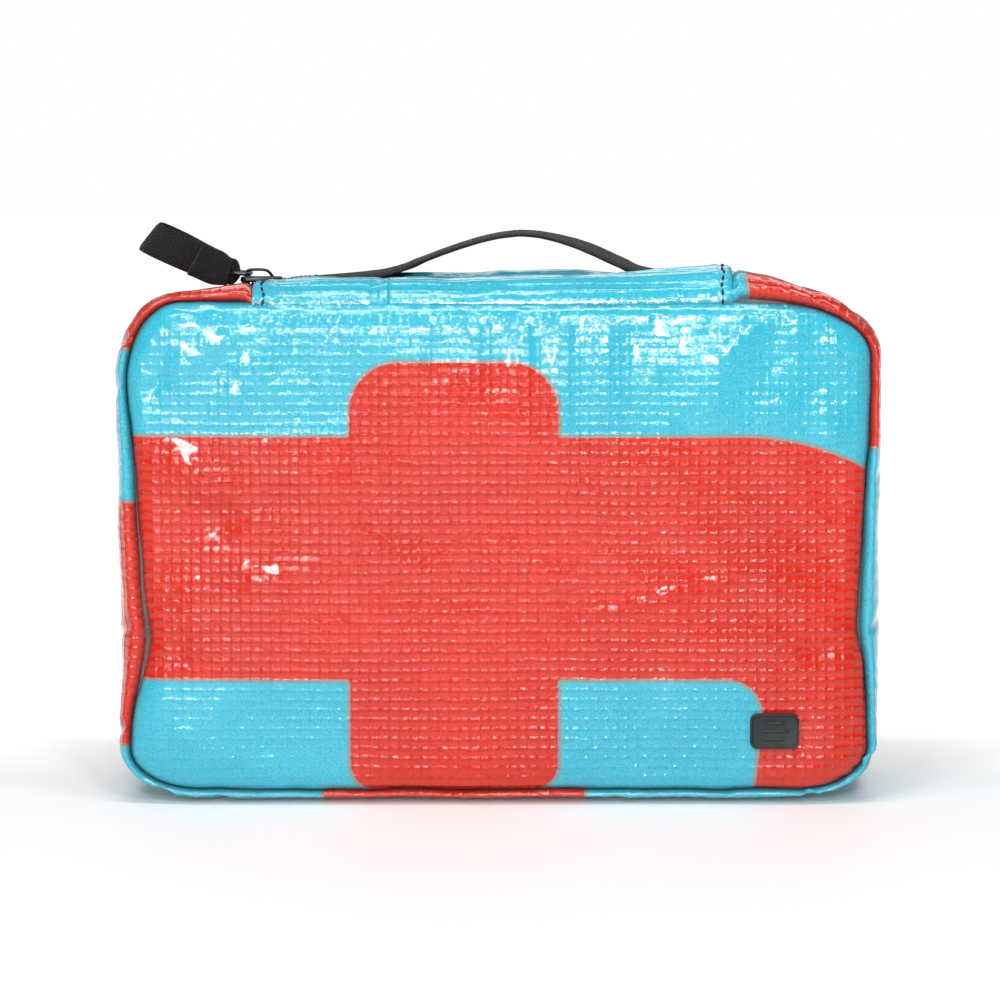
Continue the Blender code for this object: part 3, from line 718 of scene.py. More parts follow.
def coil_tree():
    """One side of a nylon zip: a flattened loop of monofilament at each pitch along a curve."""
    if "zip_coil" in bpy.data.node_groups:
        return bpy.data.node_groups["zip_coil"]
    t = Tree(
        "zip_coil", Pitch="NodeSocketFloat", Across="NodeSocketFloat", High="NodeSocketFloat",
        Wire="NodeSocketFloat", Material="NodeSocketMaterial",
    )
    g = t.given.outputs
    points = t.node("GeometryNodeCurveToPoints", {"mode": "LENGTH"}, _0=g["Geometry"], Length=g["Pitch"])
    ring = t.node("GeometryNodeCurvePrimitiveCircle", {"mode": "RADIUS"}, Resolution=9, Radius=1.0)
    size = t.node("ShaderNodeCombineXYZ", None, _0=g["High"], _1=g["Across"], _2=1.0)
    shaped = t.node("GeometryNodeTransform", None, Geometry=ring.outputs[0], Scale=size.outputs[0])
    section = t.node("GeometryNodeCurvePrimitiveCircle", {"mode": "RADIUS"}, Resolution=5, Radius=g["Wire"])
    loop = t.node("GeometryNodeCurveToMesh", None, Curve=shaped.outputs[0], _1=section.outputs[0])
    slant = (0, math.radians(90), math.radians(14))
    turned = t.node("GeometryNodeTransform", None, Geometry=loop.outputs[0], Rotation=slant)
    places, wire = points.outputs["Points"], turned.outputs[0]
    laid = t.node("GeometryNodeInstanceOnPoints", None, Points=places, Instance=wire)
    return t.finish(laid.outputs[0], g["Material"])


def line_object(name, points):
    """A poly curve, for a tree to follow."""
    curve = bpy.data.curves.new(name, "CURVE")
    curve.dimensions = "3D"
    spline = curve.splines.new("POLY")
    spline.points.add(len(points) - 1)
    for target, point in zip(spline.points, points):
        target.co = (*point, 1)
    obj = bpy.data.objects.new(name, curve)
    bpy.context.scene.collection.objects.link(obj)
    return obj


def stitched(name, points, body, radius=0.00028, material="thread", pitch=None):
    pitch = pitch or sizes().stitch_pitch
    obj = run_tree(
        line_object(name, points), stitch_tree(),
        Pitch=pitch, Length=pitch * 0.86, Radius=radius, Material=look(material)
    )
    obj.data.shade_smooth()
    return finish_piece(obj, body, None, "webbing")


# --- Printed pattern: distance to the edge of the red, positive inside it ---


def rounded_box(x, z, low, high, radius):
    """Distance inside a box whose corners have one radius, or one for each of its four quarters."""
    middle_x, middle_z = (low[0] + high[0]) / 2, (low[1] + high[1]) / 2
    half_x, half_z = (high[0] - low[0]) / 2, (high[1] - low[1]) / 2
    px, pz = x - middle_x, z - middle_z
    if np.ndim(radius):
        top_right, top_left, low_left, low_right = radius
        radius = np.where(px > 0, np.where(pz > 0, top_right, low_right), np.where(pz > 0, top_left, low_left))
    qx, qz = np.abs(px) - half_x + radius, np.abs(pz) - half_z + radius
    outside = np.hypot(np.maximum(qx, 0), np.maximum(qz, 0))
    return radius - outside - np.minimum(np.maximum(qx, qz), 0)


def seam_shade(distance, along, width=0.00075):
    """Painted shade in a seam's groove: 1 at the stitching, nothing a little way off."""
    width = width * (1 + 0.45 * noise(along, distance * 0, 0.009, 13))
    return np.exp(-((distance / width) ** 2))


def front_print(x, z):
    """Broad crossing bands of print, cut where the banner was cut."""
    band = rounded_box(x, z, (-0.30, 0.0397), (0.152, 0.1143), (0.078, 0, 0, 0))
    lobe = rounded_box(x, z, (-0.0457, 0.0043), (0.0182, 0.1371), (0.0150, 0.0150, 0.009, 0.009))
    ground = rounded_box(x, z, (-0.02, -0.10), (0.0812 - (0.030 - z) * 0.09, 0.0397), (0.0125, 0, 0, 0))
    corner = np.minimum(np.minimum(-ground, x - 0.045), 0.06 - z)
    return np.maximum(np.maximum(band, lobe), corner)


def back_print(x, z):
    """Other cuts of the same banner: a broad arc and a stripe."""
    arc = 0.088 - np.hypot(x + 0.052, z - 0.018)
    hole = np.hypot(x + 0.052, z - 0.018) - 0.047
    stripe = rounded_box(x, z, (0.058, -0.1), (0.094, 0.3), 0.0)
    return np.maximum(np.minimum(arc, hole), stripe)


def face_relief(x, z, side):
    """How far a stuffed face's cloth stands out or in, beyond its dome."""
    seed = 3 if side < 0 else 71
    relief = 0.0010 * clouds(x, z * 1.1, 0.046, seed, 2) + 0.00030 * clouds(x + z * 0.4, z, 0.013, seed + 5, 2)
    top = smooth((z - 0.098) / 0.05)
    flutes = np.sin(2 * math.pi * (x / 0.0165 + 0.35 * noise(x, z, 0.03, seed + 9)))
    window = np.exp(-(((x - 0.012) / 0.035) ** 2)) + 0.9 * np.exp(-(((x - 0.078) / 0.018) ** 2))
    relief = relief + 0.00042 * top * flutes * window
    if side > 0:
        relief = relief + fold(x, z, (-0.09, 0.04), (-0.02, 0.09), 0.0006, 0.003)
        return relief + fold(x, z, (0.03, 0.13), (0.09, 0.10), 0.0006, 0.004)
    folds = (
        ((0.012, 0.0550), (0.086, 0.0752), 0.00070, 0.0015),
        ((0.078, 0.0772), (0.101, 0.0787), 0.00050, 0.0012),
        ((-0.107, 0.112), (-0.062, 0.083), 0.0013, 0.0060),
        ((-0.098, 0.088), (-0.055, 0.096), -0.0008, 0.0050),
        ((-0.082, 0.066), (-0.050, 0.076), 0.0009, 0.0050),
        ((-0.106, 0.131), (-0.070, 0.151), 0.0006, 0.0035),
        ((-0.086, 0.118), (-0.064, 0.154), 0.0008, 0.0055),
        ((0.064, 0.132), (0.082, 0.154), 0.0009, 0.0045),
        ((0.095, 0.128), (0.112, 0.098), 0.0007, 0.0050),
        ((-0.105, 0.024), (-0.075, 0.012), 0.0006, 0.0040),
        ((-0.110, 0.040), (-0.093, 0.050), -0.0007, 0.0030),
        ((-0.111, 0.126), (-0.098, 0.134), -0.0006, 0.0022),
        ((0.090, 0.046), (0.112, 0.052), -0.0006, 0.0030),
    )
    for start, end, height, width in folds:
        relief = relief + fold(x, z, start, end, height, width)
    low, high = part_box("badge")
    across, up = (x - (low.x + high.x) / 2) / 0.013, (z - (low.z + high.z) / 2) / 0.011
    return relief * (1 - np.exp(-((across**2 + up**2) ** 2)))


def build_face(side):
    """One face: a domed sheet whose edge turns into the seam groove."""
    outline = seam_outline()
    columns, rows = (231, 157) if side < 0 else (171, 117)
    a = np.sin(np.linspace(-1, 1, columns) * math.pi / 2 * 0.82) / math.sin(math.pi / 2 * 0.82)
    b = np.sin(np.linspace(-1, 1, rows) * math.pi / 2 * 0.82) / math.sin(math.pi / 2 * 0.82)
    a, b = np.meshgrid(a, b)
    reach = np.maximum(np.maximum(np.abs(a), np.abs(b)), 1e-6)
    edge_a, edge_b = a / reach, b / reach
    seam, out = outline["seam"], outline["out"]
    angle = np.unwrap(np.arctan2((seam[:, 1] - MID_Z) / (SEAM_Z[1] - MID_Z), seam[:, 0] / HALF_WIDTH))
    wanted = np.arctan2(edge_b, edge_a)
    wanted = np.where(wanted < angle[0], wanted + 2 * math.pi, wanted)
    rim_x, rim_z = (np.interp(wanted, angle, seam[:, k]) for k in (0, 1))
    nx, nz = (np.interp(wanted, angle, out[:, k]) for k in (0, 1))
    x, z = reach * rim_x, MID_Z + reach * (rim_z - MID_Z)
    edge = np.abs((rim_x - x) * nx + (rim_z - z) * nz)
    crown = (1 - np.abs(a) ** 4) * (1 - np.abs(b) ** 4)
    stand = sizes().dome * crown**0.8 - sizes().seam_groove * np.exp(-((edge / 0.0021) ** 1.3))
    along = wanted * 0.1
    pucker = 0.00030 * clouds(along * 2.2, edge * 0.6, 0.008, 31, 2) * np.exp(-edge / 0.009)
    stand = stand + face_relief(x, z, side) * smooth(edge / 0.010) + pucker * smooth(edge / 0.002)
    y = side * (SEAM_Y + stand)
    points = np.stack((x, y, z), axis=-1)
    uv = np.stack((x * -side, z), axis=-1)
    print_edge = front_print(x, z) if side < 0 else back_print(-x, z)
    name = "front_face" if side < 0 else "back_face"
    obj = surface(name, points, uv, print_edge, flip=side > 0, seam=seam_shade(edge, along))
    return wall(obj, 0.0006)


def gusset_print(piece):
    """Signed distance to the red along the gusset's length."""
    along = piece["along"]
    x, z = piece["outer"].T
    left, right, low = x < -0.09, x > 0.09, z < 0.02
    red = (
        ((x < PANEL_X[0] + 0.01) & (z > 0.1423)) | (left & (z < 0.0933) & (z > 0.0187))
        | (low & (x > -0.0534) & (x < 0.0270)) | (right & (z > 0.1107)) | ((x > 0.0764) & (z > 0.15))
    )
    changes = np.flatnonzero(np.diff(red.astype(int)))
    edges = (along[changes] + along[changes + 1]) / 2
    distance = np.abs(along[:, None] - edges[None]).min(axis=1)
    return np.where(red, distance, -distance)


def gusset_section(count):
    """Depth and share of the swell at evenly spaced turns from the front seam to the back one."""
    c = np.sin(np.linspace(-1, 1, count) * math.pi / 2)
    c = 0.55 * c + 0.45 * np.linspace(-1, 1, count)
    return c, (1 - np.abs(c) ** 3.2) ** (1 / 2.6)


# Creases across the gusset: where each starts on the outline, its depth and its width
GUSSET_FOLDS = (
    (-0.1155, 0.1455, 0.0016, 0.0016), (-0.1184, 0.1310, 0.0010, 0.0014), (-0.1184, 0.0560, 0.0012, 0.0018),
    (-0.1184, 0.0250, 0.0012, 0.0020), (-0.1060, 0.0020, 0.0009, 0.0020), (-0.0880, 0.0000, 0.0007, 0.0018),
    (0.1160, 0.0110, 0.0022, 0.0018), (0.0960, 0.0010, 0.0014, 0.0018), (0.1184, 0.0540, 0.0009, 0.0020),
    (0.1150, 0.1480, 0.0010, 0.0022), (0.0980, 0.1590, 0.0008, 0.0022), (0.1184, 0.1000, 0.0005, 0.0020),
)


def build_gusset():
    outline = seam_outline()
    start, end = length_at(outline, PANEL_X[0] + 0.004, -1), length_at(outline, PANEL_X[1] - 0.004, 1)
    columns, rows = 561, 57
    piece = resample(outline, columns, start, end)
    c, share = gusset_section(rows)
    along = piece["along"]
    seam, outer, out = piece["seam"], piece["outer"], piece["out"]
    from_seam = (1 - np.abs(c)) * SEAM_Y
    s, v = np.meshgrid(along, c * SEAM_Y)
    relief = 0.00055 * clouds(s, v, 0.022, 11, 2) + 0.00018 * clouds(s * 1.6, v * 0.5, 0.013, 19, 2)
    relief = relief * smooth(from_seam[:, None] / 0.008)
    near = np.exp(-from_seam[:, None] / 0.006)
    puckers = 0.00035 * np.sin(2 * math.pi * (s / 0.0052 + 0.8 * noise(s, v, 0.012, 23))) * near
    puckers = puckers * (0.4 + 0.6 * noise(s, v * 0, 0.02, 29) ** 2) * smooth(from_seam[:, None] / 0.0018)
    top = smooth((outer[:, 1] - 0.149) / 0.006)
    ridge = 0.0008 * np.exp(-(((from_seam[:, None] - 0.009) / 0.0022) ** 2)) * top[None]
    lines = 0.00022 * np.sin(2 * math.pi * from_seam[:, None] / 0.0052) * top[None]
    dip_share = smooth((0.56 - np.abs(c)) / 0.36)[:, None]
    past = np.maximum(PANEL_X[0] - seam[:, 0], seam[:, 0] - PANEL_X[1])[None]
    dip = 0.0046 * dip_share * (1 - smooth((past - 0.010) / 0.022)) * top[None]
    dip = dip + 0.0024 * (1 - smooth((past + 0.0004) / 0.0030)) * top[None]
    dip = dip + 0.052 * np.maximum(0, v + 0.024) * share[:, None] * top[None]
    for x0, z0, depth, width in GUSSET_FOLDS:
        k = int(np.argmin(np.hypot(outer[:, 0] - x0, outer[:, 1] - z0)))
        slant = 0.35 * (SEAM_Y - from_seam[:, None])
        near_fold = np.exp(-(((s - along[k] + slant - 0.35 * SEAM_Y) / width) ** 2))
        off_seam = from_seam[:, None]
        relief = relief - depth * near_fold * np.exp(-off_seam / 0.03) * smooth(off_seam / 0.002)
    grow = share[:, None]
    base = seam[None] * (1 - grow[..., None]) + outer[None] * grow[..., None]
    lift = (relief + puckers + ridge + lines - dip)[..., None]
    flat = (np.abs(s - np.clip(s, *floor_span(piece))) < 1e-9) & (np.abs(v) < 0.030)
    lift = np.where(flat[..., None], np.minimum(lift, 0.0), lift)
    place = base + out[None] * lift
    groove = sizes().seam_groove * np.exp(-((from_seam / 0.0012) ** 1.2))
    y = c * SEAM_Y - np.sign(c) * groove
    points = np.stack((place[..., 0], np.repeat(y[:, None], columns, axis=1), place[..., 1]), axis=-1)
    points[..., 2] = np.maximum(points[..., 2], 0.00005)
    uv = np.stack((s, v), axis=-1)
    edge = np.repeat(gusset_print(piece)[None], rows, axis=0) + 0.0006 * noise(s, v, 0.01, 3)
    obj = surface("gusset", points, uv, edge, flip=True, seam=seam_shade(from_seam[:, None], s, 0.00028))
    return wall(obj, 0.0006)


def floor_span(piece):
    """The lengths between which the gusset lies along the bottom."""
    x, z = piece["seam"].T
    rows = np.flatnonzero((z < SEAM_Z[0] + 0.0012) & (np.abs(x) < HALF_WIDTH))
    return piece["along"][rows[0]], piece["along"][rows[-1]]


# --- Zip panel ---


# How far the rear strip lies under the front one's height, drawn down by the handle's sewn ends
REAR_SAG = (
    (-0.080, 0.0020), (-0.070, 0.0032), (-0.057, 0.0032), (-0.046, 0.0016), (-0.036, 0.0008), (-0.020, 0.0002),
    (0.020, 0.0006), (0.036, 0.0014), (0.046, 0.0026), (0.057, 0.0044), (0.066, 0.0052), (0.076, 0.0040),
)


def strip_height(x, depth, side=-1):
    """Height of a top strip's cloth over the seam, at a distance in from the face."""
    crest = table(x, CREST)
    v = 1 - depth / SEAM_Y
    if side > 0:
        crest = crest - table(x, REAR_SAG)
    rise = np.sin(np.pi / 2 * np.clip((1 - v) / 0.42, 0, 1)) ** 0.8
    dip = 0.0052 * smooth((0.60 - v) / 0.40)
    return crest * rise - dip


def strip_points(side, xs, depths, drop=0.0):
    x, depth = np.meshgrid(xs, depths)
    z = SEAM_Z[1] + strip_height(x, depth, side)
    wrinkle = 0.00032 * clouds(x, depth * 1.6, 0.012, 41 if side < 0 else 47, 3) * smooth(depth / 0.003)
    wrinkle = wrinkle + 0.0007 * np.exp(-(((depth - 0.0075) / 0.0016) ** 2))
    wrinkle = wrinkle - 0.0011 * np.exp(-(((x + 0.0385 - 0.2 * depth) / 0.0018) ** 2)) * np.exp(-depth / 0.016)
    groove = sizes().seam_groove * np.exp(-((depth / 0.0016) ** 1.2))
    y = side * (SEAM_Y - depth - 0.6 * groove)
    from_end = np.minimum(x - PANEL_X[0], PANEL_X[1] - x)
    fold_over = 0.0007 * smooth(from_end / 0.0007) * (1 - smooth((from_end - 0.0045) / 0.003)) - 0.0005
    fold_over = fold_over - 0.0004 * np.exp(-(((from_end - 0.0036) / 0.0008) ** 2))
    z = z + wrinkle + fold_over - 0.5 * groove
    over_tape = TAPE_HIGH.z + 0.0007 + 0.2 * wrinkle + 0.6 * fold_over
    near_tape = smooth((depth - (SEAM_Y - TAPE_HIGH.y - 0.004)) / 0.004)
    z = np.where(z < over_tape, z * (1 - near_tape) + over_tape * near_tape, z) - drop
    return np.stack((x, y, z), axis=-1)


HALVES = (("left", -1), ("right", 1))
# Where the two pieces of each lip meet
MEETING = -0.034


def half_span(sign):
    """A part of the zip panel, from its stitched end to where the two meet."""
    return (PANEL_X[0], MEETING) if sign < 0 else (MEETING, PANEL_X[1])


def lip_blend(obj, sign):
    """The front lip's place is baked into its mesh; it rides on no body."""
    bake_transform(obj)
    return obj


def build_strips():
    inner = SEAM_Y - 0.0066
    for side, end in ((-1, "front"), (1, "rear")):
        for half, sign in HALVES:
            low, high = half_span(sign)
            xs = np.linspace(low, high, 101)
            depths = np.concatenate((np.linspace(0.0, 0.004, 9), np.linspace(0.0048, inner, 37)))
            points = strip_points(side, xs, depths)
            hem = points[-1].copy()
            turned = [hem + np.array((0, side * 0.0003, -0.0006)), hem + np.array((0, side * 0.0012, -0.0010))]
            turned += [points[-4] + np.array((0, 0, -0.0014)), points[-9] + np.array((0, 0, -0.0015))]
            points = np.concatenate((points, np.stack(turned)))
            x = points[..., 0]
            run = np.cumsum(np.linalg.norm(np.diff(points, axis=0, prepend=points[:1]), axis=-1), axis=0)
            uv = np.stack((x, run), axis=-1)
            seam = seam_shade(np.concatenate((depths, np.full(4, 0.02)))[:, None], x, 0.0005)
            obj = surface(f"{end}_strip_{half}", points, uv, np.full(x.shape, -0.01), flip=side > 0, seam=seam)
            obj = settle(wall(obj, 0.0006))
            nodes = (f"{end}_zip_strip",) if sign < 0 else ()
            dress_lip(obj, side, sign, "vinyl", "vinyl", *nodes)
            strip_end_fold(side, end, half, sign)


def dress_lip(obj, side, sign, material, slot, *nodes):
    """Finishes a piece of the zip panel: the rear one rides on the bag, and the front one has its place baked into its
    mesh.
    """
    obj.data.materials.clear()
    obj.data.materials.append(look(material))
    if nodes:
        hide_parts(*nodes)
    return lip_blend(obj, sign) if side < 0 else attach(obj, "bag")


def strip_end_fold(side, end, half, sign):
    """The strip's end is folded under and lies over the gusset, with a line of topstitching."""
    edge = PANEL_X[0] if sign < 0 else PANEL_X[1]
    stitch_x = edge - sign * 0.0036
    depths = np.linspace(0.0006, SEAM_Y - 0.0080, 40)
    wave = 0.0003 * np.sin(depths * 900 + sign)
    points = strip_points(side, np.array([stitch_x]), depths)[:, 0]
    points[:, 0] += wave + 0.0008 * np.sin(depths * 130) * sign
    points[:, 2] += 0.0002
    stitched(f"{end}_end_stitches_{half}", [tuple(p) for p in points], "bag", 0.00040)


def build_zip():
    sizes_ = sizes()
    coil_low, coil_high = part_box("zip_coil_rear")
    coil_y, coil_z = coil_low.y + 0.0011, (coil_low.z + coil_high.z) / 2
    for side, end in ((-1, "front"), (1, "rear")):
        for half, sign in HALVES:
            low, high = (TAPE_LOW.x, MEETING) if sign < 0 else (MEETING, TAPE_HIGH.x)
            xs = np.linspace(low, high, 60)
            across = np.linspace(TAPE_LOW.y + 0.0001, TAPE_HIGH.y, 14)
            x, y = np.meshgrid(xs, across)
            z = TAPE_HIGH.z + 0.00012 * np.sin(y / 0.0012 * math.pi) + 0.00025 * clouds(x, y, 0.012, 53, 2)
            z = np.where(y < TAPE_LOW.y + 0.003, TAPE_HIGH.z, z)
            points = np.stack((x, side * y, z), axis=-1)
            obj = surface(f"{end}_tape_{half}", points, np.stack((x, y), axis=-1), flip=side < 0)
            obj = settle(wall(obj, 0.0005))
            dress_lip(obj, side, sign, "tape", "tape", *((f"zip_tape_{end}",) if sign < 0 else ()))
            start = SLIDER_LOW.x + 0.001 if sign < 0 else MEETING
            stop = MEETING if sign < 0 else TAPE_HIGH.x - 0.001
            ends = [(start, side * coil_y, coil_z), (stop - 0.0002, side * coil_y, coil_z)]
            path = line_object(f"{end}_coil_{half}", ends)
            coil = run_tree(
                path, coil_tree(),
                Pitch=sizes_.coil_pitch, Across=0.00125, High=0.0009, Wire=0.00030, Material=look("coil")
            )
            coil.data.shade_smooth()
            dress_lip(coil, side, sign, "coil", "coil", *((f"zip_coil_{end}",) if sign < 0 else ()))


# --- Slider, ring and pull loop ---


def rounded_plate(name, outline, low, high, bevel):
    """A plate with the given outline, from one height to another, its edges rounded."""
    made = bmesh.new()
    face = made.faces.new([made.verts.new((x, y, low)) for x, y in outline])
    grown = bmesh.ops.extrude_face_region(made, geom=[face])
    raised = [v for v in grown["geom"] if isinstance(v, bmesh.types.BMVert)]
    bmesh.ops.translate(made, verts=raised, vec=(0, 0, high - low))
    obj = from_bmesh(name, made, 0.6)
    rounding = obj.modifiers.new("Rounding", "BEVEL")
    rounding.width = bevel
    rounding.segments = 3
    rounding.limit_method = "ANGLE"
    return settle(obj)


def join(name, pieces):
    """One object from several meshes."""
    made = bmesh.new()
    for piece in pieces:
        made.from_mesh(piece.data)
        bpy.data.objects.remove(piece)
    mesh = bpy.data.meshes.new(name)
    made.to_mesh(mesh)
    made.free()
    mesh.shade_smooth()
    mesh.set_sharp_from_angle(angle=0.7)
    obj = bpy.data.objects.new(name, mesh)
    bpy.context.scene.collection.objects.link(obj)
    return obj


def build_slider():
    low, high = SLIDER_LOW, SLIDER_HIGH
    x0, x1 = low.x, high.x
    wide = high.y
    plate_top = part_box("slider_ring")[0].z - 0.0003
    coil_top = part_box("zip_coil_rear")[1].z + 0.0002
    tape_low = TAPE_LOW.z - 0.0002
    outline = [(x0, -0.6 * wide), (x0 + 0.0016, -wide), (x0 + 0.006, -wide * 0.96), (x1 - 0.001, -wide * 0.70)]
    outline += [(x1, -wide * 0.52)]
    outline += [(x, -y) for x, y in reversed(outline)]
    pieces = [rounded_plate("slider_top", outline, coil_top, plate_top, 0.0004)]
    pieces.append(rounded_plate("slider_base", outline, low.z, tape_low, 0.0004))
    post = [(x0 + 0.0002, -0.0008), (x0 + 0.0026, -0.0002), (x0 + 0.0026, 0.0002), (x0 + 0.0002, 0.0008)]
    pieces.append(rounded_plate("slider_post", post, tape_low - 0.0003, coil_top + 0.0003, 0.0001))
    middle = (x0 + x1) / 2
    crown = high.z - 0.0005
    foot = plate_top - 0.0003
    arch = [(middle - 0.0050, foot), (middle - 0.0050, plate_top + 0.0010), (middle - 0.0044, crown - 0.0003)]
    arch += [(middle - 0.0034, crown), (middle + 0.0012, crown), (middle + 0.0024, crown - 0.0008)]
    arch += [(middle + 0.0036, foot)]
    fine = resample_line(arch, 26)
    section = [(0.0011 * math.cos(a), 0.00048 * math.sin(a)) for a in ROUND]
    path = [(x, 0, z) for x, z in fine]
    ahead = np.gradient(np.array(path), axis=0)
    ups = np.stack((-ahead[:, 2], np.zeros(len(path)), ahead[:, 0]), axis=1)
    pieces.append(sweep("slider_bail", path, section, ups))
    obj = join("slider_body", pieces)
    return finish_piece(obj, "slider", look("metal"), "metal", "zip_slider")


def resample_line(points, count):
    """A line through points with its corners eased, at evenly spaced lengths."""
    points = np.array(points, float)
    for _ in range(3):
        cut = np.empty((2 * len(points) - 2, points.shape[1]))
        cut[0::2] = points[:-1] * 0.75 + points[1:] * 0.25
        cut[1::2] = points[:-1] * 0.25 + points[1:] * 0.75
        cut[0], cut[-1] = points[0], points[-1]
        points = cut
    lengths = np.concatenate(([0], np.cumsum(np.linalg.norm(np.diff(points, axis=0), axis=1))))
    wanted = np.linspace(0, lengths[-1], count)
    return np.stack([np.interp(wanted, lengths, points[:, k]) for k in range(points.shape[1])], axis=1)


LOOP_TWIST = math.radians(84)
LOOP_RISES = (math.radians(12), math.radians(25.5))
LOOP_BEND = 0.008
LOOP_SKEW = 0.24


def loop_place(bar, along, ply, across):
    """From the flat tab (along it, ply spacing, across it) to its twisted and lifted place."""
    turn = LOOP_TWIST * smooth((along + 0.004) / 0.006)
    across = across * (0.70 + 0.30 * smooth((along + 0.001) / 0.007))
    up = ply * np.cos(turn) + across * np.sin(turn)
    back = ply * np.sin(turn) - across * np.cos(turn)
    along = along - LOOP_SKEW * up * smooth((along - 0.008) / 0.012)
    share = np.clip(along / LOOP_BEND, 0, 1)
    start, end = LOOP_RISES
    angle = start + (end - start) * share
    radius = LOOP_BEND / (end - start)
    straight = along - share * LOOP_BEND
    run = radius * (np.sin(angle) - math.sin(start)) + straight * np.cos(angle)
    rise = radius * (math.cos(start) - np.cos(angle)) + straight * np.sin(angle)
    return np.stack((bar[0] - run + up * np.sin(angle), back, bar[2] + rise + up * np.cos(angle)), axis=-1)


def ribbon(name, line, wide, thick, place, rows=9, bow=0.0):
    """Webbing whose middle line runs through (along, ply) points, placed by a mapping of the flat tab."""
    line = np.asarray(line)
    ahead = np.gradient(line, axis=0)
    ahead /= np.linalg.norm(ahead, axis=1)[:, None]
    normal = np.stack((-ahead[:, 1], ahead[:, 0]), axis=1)
    across = np.linspace(-1, 1, rows)
    edge = np.sqrt(np.clip(1 - np.abs(across) ** 14, 0, 1)) * 0.5 + 0.0
    edge = np.maximum(edge, 0.16)
    loops = []
    for sign, order in ((1, across), (-1, across[::-1])):
        shares = edge if sign > 0 else edge[::-1]
        for a, e in zip(order, shares):
            offset = line + normal * (sign * thick * e)[..., None] if np.ndim(e) else line + normal * (sign * thick * e)
            loops.append(place(offset[:, 0], offset[:, 1] + bow * (a * a), np.full(len(line), a * wide / 2)))
    points = np.stack(loops, axis=1)
    made = bmesh.new()
    rings = [[made.verts.new(p) for p in ring] for ring in points]
    uv = made.loops.layers.uv.new("UVMap")
    lengths = np.concatenate(([0], np.cumsum(np.linalg.norm(np.diff(line, axis=0), axis=1))))
    marks = np.concatenate((across, across[::-1])) * wide / 2
    for i in range(len(rings) - 1):
        for k in range(len(marks)):
            n = (k + 1) % len(marks)
            face = made.faces.new((rings[i][k], rings[i][n], rings[i + 1][n], rings[i + 1][k]))
            for loop, (row, column) in zip(face.loops, ((i, k), (i, n), (i + 1, n), (i + 1, k))):
                loop[uv].uv = (lengths[row], marks[column])
    made.faces.new(rings[0])
    made.faces.new(rings[-1])
    return from_bmesh(name, made, 0.9)


def build_pull():
    ring_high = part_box("slider_ring")[1]
    pivot = Vector(JOINTS["ring_swing"]["pos_m"])
    bar = Vector(JOINTS["pull_swing"]["pos_m"])
    away = (bar - pivot).normalized()
    half, bend, length = ring_high.y - 0.0006, 0.0016, (bar - pivot).length
    corners = []
    for sign, along, turn in ((-1, bend, 180), (-1, length - bend, 90), (1, length - bend, 0), (1, bend, -90)):
        for step in range(7):
            a = math.radians(turn + 90 - 15 * step)
            reach = Vector((0, sign * (half - bend) + bend * math.cos(a), 0))
            corners.append(pivot + away * (along + bend * math.sin(a)) + reach)
    section = [(0.0006 * math.cos(a), 0.0006 * math.sin(a)) for a in ROUND]
    up = away.cross(Vector((0, 1, 0)))
    ring = sweep("pull_ring", [tuple(c) for c in corners], section, [tuple(up)] * len(corners), closed=True)
    finish_piece(ring, "ring", look("metal"), "metal", "slider_ring")

    def place(along, ply, across):
        return loop_place(bar, along, ply, across)

    thick, wide = 0.00125, 0.0105
    around = np.linspace(math.radians(25), math.radians(335), 24)
    eye = [(0.00185 * math.cos(a), 0.00185 * math.sin(a)) for a in around]
    top = [(0.0032, 0.0011), (0.0060, 0.00075), (0.0100, 0.0009), (0.0135, 0.0020), (0.017, 0.0030)]
    top += [(0.0215, 0.0034), (0.0246, 0.0033)]
    tip = [(0.0269, 0.0026), (0.0281, 0.0012), (0.0283, 0.0), (0.0281, -0.0012), (0.0269, -0.0026)]
    back = [(a, -b) for a, b in reversed(top)]
    outer = resample_line([eye[-1]] + top + tip + back + [eye[0]], 150)
    eye_line = resample_line([(0.0032, 0.00115)] + eye + [(0.0032, -0.00115)], 60)
    loop = ribbon("pull_webbing", outer, wide, thick, place)
    eye_piece = ribbon("pull_webbing_eye", eye_line, wide * 0.96, 0.0011, place)
    flap_line = resample_line([(0.0008, -0.0029), (0.0040, -0.0025), (0.0090, -0.0026), (0.0122, -0.0034)], 24)
    flap = ribbon("pull_webbing_end", flap_line, wide * 1.04, 0.0016, place)
    obj = join("pull_webbing_loop", [loop, eye_piece, flap])
    finish_piece(obj, "pull", look("webbing"), "webbing", "pull_loop")
    for k, along in enumerate((0.0046, 0.0068)):
        for ply in (-0.0032, 0.0017):
            across = np.linspace(-0.42 * wide, 0.42 * wide, 14)
            points = place(np.full(14, along), np.full(14, ply), across)
            name = f"pull_bartack_{k}_{'front' if ply < 0 else 'back'}"
            stitched(name, [tuple(p) for p in points], "pull", 0.00022, pitch=0.0012)


# --- Handle ---

STRAP_TOPS = (
    (-0.0705, 0.1600), (-0.0570, 0.1614), (-0.0450, 0.1625), (-0.0365, 0.1635), (-0.0304, 0.1651), (-0.0240, 0.1673),
    (-0.0181, 0.1696), (-0.0120, 0.1717), (-0.0058, 0.1736), (0.0000, 0.1749), (0.0064, 0.1757), (0.0125, 0.1754),
    (0.0187, 0.1744), (0.0250, 0.1730), (0.0310, 0.1710), (0.0370, 0.1682), (0.0433, 0.1653), (0.0494, 0.1638),
    (0.0570, 0.1626), (0.0680, 0.1614),
)


